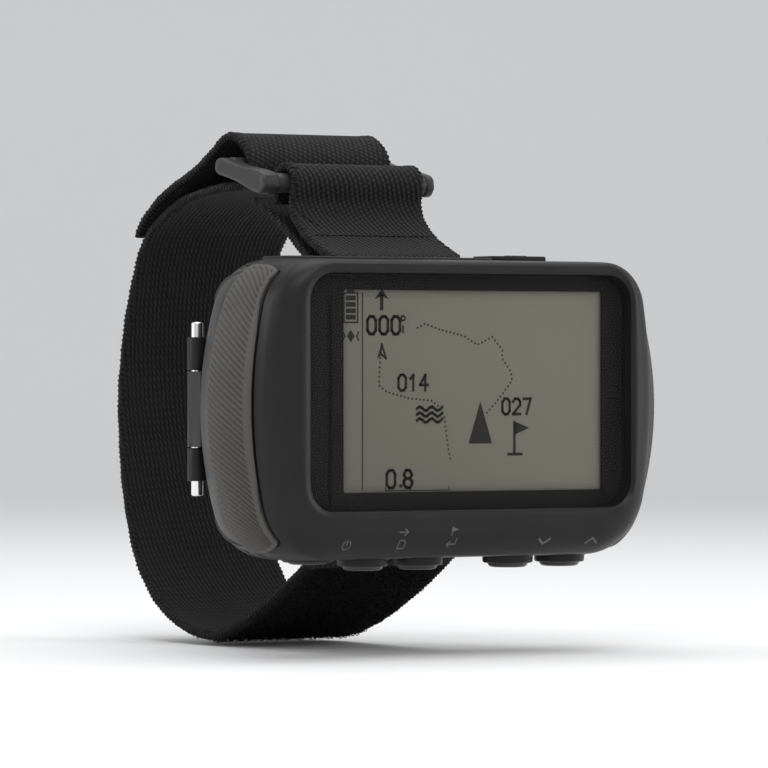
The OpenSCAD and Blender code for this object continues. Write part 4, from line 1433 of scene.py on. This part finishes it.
@dataclass
class PathRepeat:
    """A Geometry Nodes tree that repeats one small shape along paths.

    The paths are lines of vertices whose attribute "facing" says which way the shape's Z axis points.
    """

    name: str = "repeat_along_path"

    def tree(self) -> bpy.types.NodeTree:
        """Returns the tree, built once."""
        known = bpy.data.node_groups.get(self.name)
        if known:
            return known
        tree = bpy.data.node_groups.new(self.name, "GeometryNodeTree")
        wants = [("Geometry", "Geometry"), ("Shape", "Object"), ("Pitch", "Float"), ("Wobble", "Float"),
                 ("Spread", "Float"), ("Seed", "Int"), ("Finish", "Material")]
        for label, kind in wants:
            tree.interface.new_socket(label, in_out="INPUT", socket_type="NodeSocket" + kind)
        tree.interface.new_socket("Geometry", in_out="OUTPUT", socket_type="NodeSocketGeometry")
        node, link = tree.nodes.new, tree.links.new
        given = node("NodeGroupInput")
        lines = node("GeometryNodeMeshToCurve")
        link(given.outputs["Geometry"], lines.inputs["Mesh"])
        spaced = node("GeometryNodeResampleCurve")
        spaced.mode = "LENGTH"
        link(lines.outputs[0], spaced.inputs["Curve"])
        link(given.outputs["Pitch"], spaced.inputs["Length"])
        facing = node("GeometryNodeInputNamedAttribute")
        facing.data_type = "FLOAT_VECTOR"
        facing.inputs["Name"].default_value = "facing"
        along = node("GeometryNodeInputTangent")
        axes = node("FunctionNodeAxesToRotation")
        axes.primary_axis, axes.secondary_axis = "Z", "X"
        link(facing.outputs[0], axes.inputs[0])
        link(along.outputs[0], axes.inputs[1])
        tilt = node("FunctionNodeRandomValue")
        tilt.data_type = "FLOAT_VECTOR"
        less = node("ShaderNodeVectorMath")
        less.operation = "SCALE"
        less.inputs[0].default_value = (1, 1, 1)
        link(given.outputs["Wobble"], less.inputs["Scale"])
        low = node("ShaderNodeVectorMath")
        low.operation = "SCALE"
        low.inputs[0].default_value = (-1, -1, -1)
        link(given.outputs["Wobble"], low.inputs["Scale"])
        link(low.outputs[0], tilt.inputs["Min"])
        link(less.outputs[0], tilt.inputs["Max"])
        link(given.outputs["Seed"], tilt.inputs["Seed"])
        turned = node("FunctionNodeRotateRotation")
        turned.rotation_space = "LOCAL"
        to_turn = node("FunctionNodeEulerToRotation")
        link(tilt.outputs[0], to_turn.inputs[0])
        link(axes.outputs[0], turned.inputs[0])
        link(to_turn.outputs[0], turned.inputs[1])
        size = node("FunctionNodeRandomValue")
        size.data_type = "FLOAT"
        small = node("ShaderNodeMath")
        small.operation = "SUBTRACT"
        small.inputs[0].default_value = 1.0
        link(given.outputs["Spread"], small.inputs[1])
        large = node("ShaderNodeMath")
        large.operation = "ADD"
        large.inputs[0].default_value = 1.0
        link(given.outputs["Spread"], large.inputs[1])
        pairs = [s for s in size.inputs if s.enabled]
        link(small.outputs[0], pairs[0])
        link(large.outputs[0], pairs[1])
        link(given.outputs["Seed"], size.inputs["Seed"])
        shape = node("GeometryNodeObjectInfo")
        link(given.outputs["Shape"], shape.inputs["Object"])
        put = node("GeometryNodeInstanceOnPoints")
        link(spaced.outputs[0], put.inputs["Points"])
        link(shape.outputs["Geometry"], put.inputs["Instance"])
        link(turned.outputs[0], put.inputs["Rotation"])
        link([s for s in size.outputs if s.enabled][0], put.inputs["Scale"])
        real = node("GeometryNodeRealizeInstances")
        link(put.outputs[0], real.inputs[0])
        dressed = node("GeometryNodeSetMaterial")
        link(real.outputs[0], dressed.inputs["Geometry"])
        link(given.outputs["Finish"], dressed.inputs["Material"])
        out = node("NodeGroupOutput")
        link(dressed.outputs[0], out.inputs[0])
        return tree

    def lay(self, name: str, paths: Sequence[tuple[Curve, Curve]], shape: tuple[np.ndarray, Faces],
            finish: bpy.types.Material, pitch: float, wobble: float = 0.0, spread: float = 0.0,
            seed: int = 1) -> bpy.types.Object:
        """Repeats a shape along paths and turns the result into a plain mesh.

        Args:
            name: Name of the piece.
            paths: Pairs of a path's points and the ways that it faces, in millimetres.
            shape: The small shape, with X along the path and Z the way it faces.
            finish: Its material.
            pitch: Distance between two shapes.
            wobble: Largest tilt of a shape, in radians.
            spread: Largest change of a shape's size, as a share of it.
            seed: Fixes the tilts and sizes.

        Returns:
            The piece.
        """
        points = np.concatenate([p for p, _ in paths]) * MM
        facing = np.concatenate([f for _, f in paths])
        edges, start = [], 0
        for path, _ in paths:
            edges += [(start + k, start + k + 1) for k in range(len(path) - 1)]
            start += len(path)
        mesh = bpy.data.meshes.new(name)
        mesh.from_pydata([tuple(p) for p in points], edges, [])
        mesh.attributes.new("facing", "FLOAT_VECTOR", "POINT").data.foreach_set("vector", facing.ravel())
        piece = bpy.data.objects.new(name, mesh)
        bpy.context.scene.collection.objects.link(piece)
        template = make_piece(name + "_shape", *shape, crease=60)
        tree = self.tree()
        change = piece.modifiers.new("repeat", "NODES")
        change.node_group = tree
        values = {"Shape": template, "Pitch": pitch * MM, "Wobble": wobble, "Spread": spread, "Seed": seed,
                  "Finish": finish}
        for item in tree.interface.items_tree:
            if item.in_out == "INPUT" and item.name in values:
                change[item.identifier] = values[item.name]
        bake(piece)
        bpy.data.objects.remove(template)
        return piece


def tube(points: np.ndarray, radius: float, sides: int = 6) -> tuple[np.ndarray, Faces]:
    """Makes a thin thread that follows points in space."""
    along = tangents(points)
    rings = []
    guide = np.array([1.0, 0.0, 0.0])
    for place, way in zip(points, along):
        first = guide - way * np.dot(guide, way)
        first /= max(np.linalg.norm(first), 1e-9)
        second = np.cross(way, first)
        turn = np.radians(np.arange(sides) * 360 / sides)[:, None]
        rings.append(place + radius * (np.cos(turn) * first + np.sin(turn) * second))
        guide = first
    return loft(rings, caps=True)


@dataclass
class Strap:
    """A ribbon of webbing that follows a route in the plane of depth and height.

    Attributes:
        name: Name of the piece.
        node: CAD node that it stands for.
        route: Its middle line, as depths and heights.
        width: Its width.
        thickness: Its thickness.
        lift: How far it lies off the route towards the side that it faces.
        middle: Its place across the case.
        ripple: How far its edges wander.
    """

    name: str
    node: str
    route: Curve
    width: float
    thickness: float = 1.1
    lift: float = 0.0
    middle: float = 0.3
    ripple: float = 0.12
    columns: int = 30

    def __post_init__(self) -> None:
        """Spaces the route evenly and finds which way it faces."""
        length = float(np.sum(np.linalg.norm(np.diff(self.route, axis=0), axis=1)))
        self.line = resample(self.route, int(length / 0.42))
        for _ in range(2):
            self.line[1:-1] = (self.line[:-2] + 2 * self.line[1:-1] + self.line[2:]) / 4
        way = tangents(self.line)
        self.facing = np.stack([-way[:, 1], way[:, 0]], 1)
        self.line = self.line + self.facing * self.lift
        steps = np.linalg.norm(np.diff(self.line, axis=0), axis=1)
        self.walked = np.concatenate([[0], np.cumsum(steps)])

    def section(self) -> np.ndarray:
        """Rounded outline of the webbing: place across, place through."""
        half, deep = self.width / 2, self.thickness / 2
        soft = deep * 0.85
        right = arc((half - soft, 0), 1.0, 90, -90, 8)
        right = np.stack([half - soft + (right[:, 0] - half + soft) * soft, right[:, 1] * deep], 1)
        top = np.stack([np.linspace(-half + soft, half - soft, self.columns)[1:-1],
                        np.full(self.columns - 2, deep)], 1)
        edge = 1 - np.clip((half - 1.3 - np.abs(top[:, 0])) / 0.5, 0, 1)
        top[:, 1] += 0.1 * edge - 0.05
        left = right[::-1] * (-1, 1)
        bottom = (top * (1, -1))[::-1]
        return np.concatenate([top, right, bottom, left])

    def wander(self, walked: float, phase: float) -> float:
        """How far an edge or face strays at a place along the strap."""
        slow, quick = math.sin(walked * 0.55 + phase), math.sin(walked * 1.31 + 2.1 * phase)
        return self.ripple * (slow + 0.6 * quick) / 1.6

    def place(self, index: int, across: float, through: float) -> np.ndarray:
        """Point in space at a step along the strap, a place across it and one through it."""
        y, z = self.line[index] + self.facing[index] * through
        return np.array([self.middle + across, y, z])

    def build(self, palette: Palette, faces: Callable[[int, float], str],
              body: str = "case") -> bpy.types.Object:
        """Makes the ribbon, with a UV map in metres, and dresses it.

        Args:
            palette: The finishes.
            faces: Names the finish for a side (1 is the side it faces) and a distance along the strap.
            body: Body that it rides on.

        Returns:
            The piece.
        """
        section = self.section()
        rings = []
        for i, walked in enumerate(self.walked):
            swing = self.wander(walked, 1.7)
            narrow = 1 + self.wander(walked, 0.4) / self.width
            end = min(walked, self.walked[-1] - walked)
            pinch = 1 - 0.5 * (1 - ease(end, 0, 0.6))
            rings.append(np.array([self.place(i, u * narrow + swing * 0.4, v * pinch) for u, v in section]))
        points, skin = loft(rings, caps=True)
        piece = make_piece(self.name, points, skin, 60)
        mesh = piece.data
        names = sorted({faces(side, float(w)) for side in (1, -1) for w in self.walked})
        for name in names:
            mesh.materials.append(palette.material(name))
        uv = mesh.uv_layers.new(name="UVMap")
        centres = np.array([p.center for p in mesh.polygons]) / MM
        nearest = [int(np.argmin((self.line[:, 0] - c[1]) ** 2 + (self.line[:, 1] - c[2]) ** 2))
                   for c in centres]
        for polygon, centre, step in zip(mesh.polygons, centres, nearest):
            through = float(np.dot(centre[1:] - self.line[step], self.facing[step]))
            side = 1 if through > 0 else -1
            polygon.material_index = names.index(faces(side, float(self.walked[step])))
            way = np.array([self.facing[step][1], -self.facing[step][0]])
            for loop in polygon.loop_indices:
                spot = np.array(mesh.vertices[mesh.loops[loop].vertex_index].co) / MM
                along = self.walked[step] + float(np.dot(spot[1:] - self.line[step], way))
                uv.data[loop].uv = ((spot[0] - self.middle) * MM, along * MM)
        palette.seat(piece, body, "strap_fabric")
        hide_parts(self.node)
        return piece

    def edges(self, start: float = 0.0, end: float = math.inf) -> list[tuple[Curve, Curve]]:
        """Paths along both edges of the strap, for the stitches that bind them."""
        kept = [i for i, w in enumerate(self.walked) if start <= w <= min(end, self.walked[-1])]
        facing = np.array([[0.0, *self.facing[i]] for i in kept])
        paths = []
        for sign in (1, -1):
            line = []
            for i in kept:
                walked = self.walked[i]
                narrow = 1 + self.wander(walked, 0.4) / self.width
                line.append(self.place(i, sign * self.width / 2 * narrow + self.wander(walked, 1.7) * 0.4, 0))
            points = np.array(line)
            flip = -1 if sign > 0 else 1
            paths.append((points[::flip], facing[::flip]))
        return paths

    def overlock(self) -> tuple[np.ndarray, Faces]:
        """One loop of the thread that binds an edge: X along the edge, Y outwards, Z through."""
        deep = self.thickness / 2
        loop = smooth([(-0.3, -1.15, deep - 0.16), (-0.14, -0.7, deep - 0.02), (0.0, -0.16, deep - 0.05),
                       (0.08, 0.03, 0.0), (0.16, -0.16, -deep + 0.05), (0.3, -0.7, -deep + 0.02),
                       (0.46, -1.15, -deep + 0.16)], 2)
        return tube(loop, 0.1, 6)

    def bind(self, palette: Palette, pitch: float, seed: int) -> bpy.types.Object:
        """Adds the overlock stitches along both edges."""
        piece = PathRepeat().lay(self.name + "_edge_stitches", self.edges(0.8, self.walked[-1] - 0.8),
                                 self.overlock(), palette.material("thread"), pitch, 0.09, 0.06, seed)
        soften(piece, 60)
        palette.seat(piece, "case", "strap_fabric")
        return piece

    def seam(self, palette: Palette, name: str, places: Sequence[tuple[float, float, float, float, int]],
             pitch: float, seed: int) -> bpy.types.Object:
        """Adds rows of straight stitches.

        Args:
            palette: The finishes.
            name: Name of the piece.
            places: For each row its start (along, across), its end (along, across) and its side, 1 or -1.
            pitch: Distance between two stitches.
            seed: Fixes the small tilts.

        Returns:
            The piece.
        """
        paths = []
        for w0, u0, w1, u1, side in places:
            line, facing = [], []
            for t in np.linspace(0, 1, 40):
                walked = w0 + (w1 - w0) * t
                step = int(np.argmin(np.abs(self.walked - walked)))
                slip = walked - self.walked[step]
                way = np.array([self.facing[step][1], -self.facing[step][0]])
                spot = self.place(step, u0 + (u1 - u0) * t, side * self.thickness / 2)
                line.append(spot + np.array([0, *(way * slip)]))
                facing.append([0.0, *(self.facing[step] * side)])
            paths.append((np.array(line), np.array(facing)))
        half = pitch * 0.36
        bow = smooth([(-half, 0, -0.1), (-half * 0.6, 0, 0.07), (half * 0.6, 0, 0.07), (half, 0, -0.1)], 2)
        stitch = tube(bow, 0.13)
        piece = PathRepeat().lay(name, paths, stitch, palette.material("thread"), pitch, 0.06, 0.05, seed)
        soften(piece, 60)
        palette.seat(piece, "case", "strap_fabric")
        return piece


@dataclass
class Straps:
    """Both straps, with their bindings, seams and loop pile."""

    sizes: Sizes
    bar_a: tuple[float, float] = (30.1, 29.1)
    turn_r: float = 1.9
    ring_r: float = 2.35

    def short_route(self) -> Curve:
        """Middle line of the short strap: down from the ring, round its bar and back under itself."""
        return np.concatenate([
            [[32.4, 26.2]], arc(self.bar_a, self.ring_r, -30, 195, 14),
            smooth([[28.5, 26.6], [27.6, 24.1], [24.6, 21.4], [21.0, 19.5]], 6),
            arc(self.sizes.top_bar, self.turn_r, 120, 312, 12),
            smooth([[22.3, 17.2], [27.3, 20.8], [31.1, 23.3], [34.6, 25.3], [38.4, 27.1]], 6)])

    def main_route(self) -> Curve:
        """Middle line of the long strap: round its bar, round the wrist, through the ring and back."""
        sewn_end = smooth([[25.0, -23.1], [23.1, -21.9], [22.0, -20.2]], 6)
        wrist = smooth([[22.6, -23.7], [28.7, -27.3], [35.5, -30.7], [41.8, -33.2], [47.5, -34.7],
                        [53.2, -34.2], [58.4, -32.6], [63.4, -29.7], [67.3, -25.6], [69.4, -21.5],
                        [71.3, -15.9], [72.6, -7.2], [72.8, -1.5], [72.2, 4.3], [70.9, 9.9],
                        [69.1, 15.3], [66.8, 20.0], [63.0, 23.7], [54.8, 27.2], [45.4, 28.6]], 5)
        tail = smooth([[41.0, 28.7], [38.3, 29.5], [37.45, 31.7], [38.2, 33.7], [40.2, 35.5],
                       [42.8, 36.3], [45.2, 35.6], [48.0, 33.8], [52.4, 31.6], [58.2, 29.4],
                       [62.8, 27.3], [66.6, 24.6], [68.5, 22.4]], 5)
        return np.concatenate([sewn_end, arc(self.sizes.low_bar, self.turn_r, 30, 239, 13), wrist, tail])

    def build(self, palette: Palette) -> None:
        """Makes both straps and dresses them."""
        short = Strap("short_webbing", "short_strap", self.short_route(), 22)
        short.build(palette, lambda side, walked: "strap_fabric")
        short.bind(palette, 0.7, 3)
        top = float(short.walked[int(np.argmin(np.hypot(*(short.line - (25.6, 22.2)).T)))])
        short.seam(palette, "short_webbing_seams",
                   [(top - 2.6, -9.3, top - 0.9, -7.9, -1), (top + 1.6, -9.4, top + 1.6, 9.4, -1)], 0.95, 5)
        main = Strap("long_webbing", "main_strap", self.main_route(), 24, lift=-0.2)
        bend = float(main.walked[int(np.argmin(np.hypot(*(main.line - (39.0, 29.1)).T)))])
        wrist = float(main.walked[int(np.argmin(np.hypot(*(main.line - (22.6, -23.7)).T)))])
        pile_end = bend - 46.0

        def finish(side: int, walked: float) -> str:
            """Names the finish of a face of the long strap."""
            if side > 0:
                return "strap_inside" if walked < bend else "strap_fabric"
            if walked > bend + 5:
                return "strap_hook"
            return "strap_pile" if wrist < walked < pile_end + 30 else "strap_fabric"

        main.build(palette, finish)
        main.bind(palette, 0.74, 7)
        tail = float(main.walked[-1])
        main.seam(palette, "long_webbing_seams",
                  [(wrist + 7, -10.4, wrist + 7, 10.4, -1),
                   (tail - 2.2, -10.6, tail - 2.2, 10.6, 1)], 1.15, 9)
        self.pile(palette, main, wrist + 0.5, bend - 26.0)

    def pile(self, palette: Palette, main: Strap, start: float, end: float) -> None:
        """Adds the loops that stand out of the long strap's outer face.

        Args:
            palette: The finishes.
            main: The long strap.
            start: Where the pile starts along it.
            end: Where it ends.
        """
        rows = np.linspace(-10.9, 10.9, 44)
        kept = [i for i, w in enumerate(main.walked) if start <= w <= end]
        paths = []
        for number, u in enumerate(rows):
            line = [main.place(i, u + 0.12 * math.sin(i * 0.9 + number * 2.3), -main.thickness / 2 - 0.02)
                    for i in kept]
            facing = [[0.0, *(-main.facing[i])] for i in kept]
            paths.append((np.array(line), np.array(facing)))
        loop = smooth([(-0.16, -0.05, -0.12), (-0.22, 0.1, 0.18), (0.02, 0.22, 0.38), (0.24, 0.02, 0.2),
                       (0.14, -0.12, -0.12)], 2)
        piece = PathRepeat().lay("loop_pile", paths, tube(loop, 0.05, 3), palette.material("strap_pile"),
                                 0.62, 1.1, 0.35, 11)
        soften(piece, 80)
        palette.seat(piece, "case", "strap_fabric")


@dataclass
class Ring:
    """Flat plastic ring that the long strap turns round."""

    middle: float = 0.3
    bar_a: tuple[float, float] = (30.1, 29.1)
    bar_b: tuple[float, float] = (40.1, 31.6)
    radius: float = 1.45
    inner: float = 24.6
    left: float = 3.0
    right: float = 1.4

    def rail(self, sign: int, side: float) -> tuple[np.ndarray, Faces]:
        """One side of the ring: a round block at the short strap, tapering towards the long one."""
        reach = math.dist(self.bar_a, self.bar_b)
        rings = []
        for t in np.linspace(-1.55, reach + 1.5, 34):
            start = math.sqrt(max(0.0, 1 - max(0.0, -t / 1.56) ** 2.4))
            stop = math.sqrt(max(0.0, 1 - max(0.0, (t - reach) / 1.51) ** 2.4))
            taper = 1.62 - 0.42 * ease(t, 0.8, reach * 0.62) + 0.05 * ease(t, reach - 2, reach)
            tall = taper * start * stop
            wide = side / 2 * (0.75 + 0.25 * min(start, stop))
            turn = np.radians(np.arange(28) * 360 / 28)
            power = 0.4
            u = np.sign(np.cos(turn)) * np.abs(np.cos(turn)) ** power * wide
            v = np.sign(np.sin(turn)) * np.abs(np.sin(turn)) ** power * max(tall, 0.02)
            rings.append(np.stack([u + sign * (self.inner + side) / 2, np.full(28, t), v], 1))
        return loft(rings, caps=True)

    def build(self, palette: Palette) -> None:
        """Makes the ring and dresses it."""
        reach = math.dist(self.bar_a, self.bar_b)
        tilt = math.atan2(self.bar_b[1] - self.bar_a[1], self.bar_b[0] - self.bar_a[0])
        skins = [self.rail(-1, self.left), self.rail(1, self.right)]
        for place in (0.0, reach):
            end = self.inner / 2 + 1
            skins.append(cylinder(self.radius - 0.05, -end, end, (0, place, 0), "x", 0.2))
        points, faces = merged(skins)
        y = points[:, 1] * math.cos(tilt) - points[:, 2] * math.sin(tilt) + self.bar_a[0]
        z = points[:, 1] * math.sin(tilt) + points[:, 2] * math.cos(tilt) + self.bar_a[1]
        ring = make_piece("tension_ring", np.stack([points[:, 0] + self.middle, y, z], 1), faces, 40)
        palette.dress(ring, "ring_plastic", "ring")
        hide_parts("strap_ring")


# ---------------------------------------------------------------------------
# CAD pieces that stay, and the studio
# ---------------------------------------------------------------------------

KEPT: dict[str, str] = {
    "case_gasket": "seal_rubber", "window_glass": "window", "window_mask": "window_print",
    "window_adhesive": "glue", "lcd_panel": "display", "lcd_backlight": "white_plastic",
    "lcd_connector": "zebra_rubber", "main_board": "board", "board_chips": "chip", "rf_shield": "tin",
    "gps_antenna": "patch_ceramic", "buzzer": "chip", "key_switches": "switch_plastic",
    "key_membrane": "seal_rubber", "battery_tube": "inner_plastic", "battery_upper": "cell_wrap",
    "battery_lower": "cell_wrap", "inner_contacts": "nickel", "door_seal": "seal_rubber",
    "door_contact": "nickel", "usb_board": "board", "usb_socket": "tin", "usb_ribbon": "flex",
}


def dress_kept(palette: Palette, nodes: dict[str, bpy.types.Object]) -> None:
    """Gives each CAD piece that stays its own finish."""
    for name, finish in KEPT.items():
        piece = nodes[name]
        material = palette.material(finish)
        if not piece.material_slots:
            piece.data.materials.append(material)
        for place in piece.material_slots:
            place.material = material
        LOG.info("CAD piece %s keeps its shape, in %s", name, finish)


@dataclass
class Studio:
    """Pale floor and backdrop, soft lights and the camera."""

    floor: float = -36.4
    eye: tuple[float, float, float] = (-430.7, -623.9, 3.8)
    turn: tuple[float, float, float] = (90 - 0.2073, 0.0, -33.75)
    lens: float = 260.4
    target: tuple[float, float, float] = (0.0, 20.0, 0.0)
    air: float = 0.7

    def stage(self) -> None:
        """Makes the floor, which curves up into a wall far behind."""
        profile = [(-2600.0, 0.0), (900.0, 0.0)]
        profile += [(900 + 600 * math.sin(a), 600 - 600 * math.cos(a))
                    for a in np.linspace(0.1, math.pi / 2, 12)]
        profile.append((1500.0, 3200.0))
        angle = math.radians(-self.turn[2])
        points, faces = [], []
        for y, z in profile:
            for x in (-3400.0, 3400.0):
                points.append((x * math.cos(angle) + y * math.sin(angle),
                               -x * math.sin(angle) + y * math.cos(angle), z + self.floor))
        for k in range(len(profile) - 1):
            faces.append((2 * k, 2 * k + 1, 2 * k + 3, 2 * k + 2))
        floor = make_piece("studio_floor", np.array(points), faces, 60)
        g = Graph("studio_paper")
        g.set(Roughness=0.9, Specular_IOR_Level=0.1)
        g.link(g.colours(g.noise(400.0, 2), [(0.0, (0.78, 0.78, 0.78)), (1.0, (0.82, 0.82, 0.82))]),
               g.shader.inputs["Base Color"])
        floor.data.materials.append(g.material)

    def lamp(self, name: str, place: Sequence[float], size: Sequence[float], power: float) -> None:
        """Adds one soft area light.

        Args:
            name: Name of the light.
            place: Where it stands, in millimetres.
            size: Its width and height in millimetres.
            power: Its power in watts.
        """
        light = bpy.data.lights.new(name, "AREA")
        light.shape = "RECTANGLE"
        light.size, light.size_y = size[0] * MM, size[1] * MM
        light.energy = power
        lamp = bpy.data.objects.new(name, light)
        lamp.location = Vector(place) * MM
        way = (Vector(self.target) - Vector(place)).normalized()
        lamp.rotation_euler = way.to_track_quat("-Z", "Y").to_euler()
        bpy.context.scene.collection.objects.link(lamp)

    def build(self) -> None:
        """Makes the stage, the lights and the camera."""
        self.stage()
        bpy.context.scene.view_settings.view_transform = "Standard"
        self.lamp("key_light", (-260, -460, 620), (420, 320), 1.9)
        self.lamp("top_light", (60, 60, 560), (600, 500), 1.8)
        self.lamp("fill_light", (620, -300, 120), (300, 500), 1.5)
        self.lamp("edge_light", (-560, 260, 160), (260, 420), 1.2)
        world = bpy.data.worlds.new("studio_air")
        world.use_nodes = True
        world.node_tree.nodes["Background"].inputs["Color"].default_value = (0.94, 0.95, 0.97, 1.0)
        world.node_tree.nodes["Background"].inputs["Strength"].default_value = self.air
        bpy.context.scene.world = world
        lens = bpy.data.cameras.new("camera")
        lens.lens = self.lens
        lens.sensor_width = 36.0
        lens.clip_start, lens.clip_end = 0.01, 20.0
        camera = bpy.data.objects.new("camera", lens)
        camera.location = Vector(self.eye) * MM
        camera.rotation_euler = [math.radians(a) for a in self.turn]
        bpy.context.scene.collection.objects.link(camera)
        bpy.context.scene.camera = camera


def main() -> None:
    """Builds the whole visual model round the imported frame."""
    logging.basicConfig(level=logging.INFO, format="%(name)s: %(message)s")
    for thing in list(bpy.data.objects):
        bpy.data.objects.remove(thing)
    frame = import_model()
    palette, sizes = Palette(), Sizes()
    Studio().build()
    front = FrontCase(sizes).build(palette)
    BackCase(sizes).build(palette)
    Grip(Side.RIGHT, 3.02, 27.8).build(palette, "case", "grip_right")
    Grip(Side.LEFT, 3.06, 28.65, 32.2, 0.34).build(palette, "door", "grip_left")
    BatteryDoor(sizes).build(palette)
    Keys(sizes).build(palette)
    fasteners = Fasteners(sizes)
    fasteners.pin(palette)
    fasteners.screws(palette)
    fasteners.bars(palette)
    SocketCap(sizes).build(palette)
    Display().build(palette)
    Legends(sizes).build(palette, front)
    Straps(sizes).build(palette)
    Ring().build(palette)
    dress_kept(palette, frame["nodes"])
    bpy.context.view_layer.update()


if __name__ == "__main__":
    main()
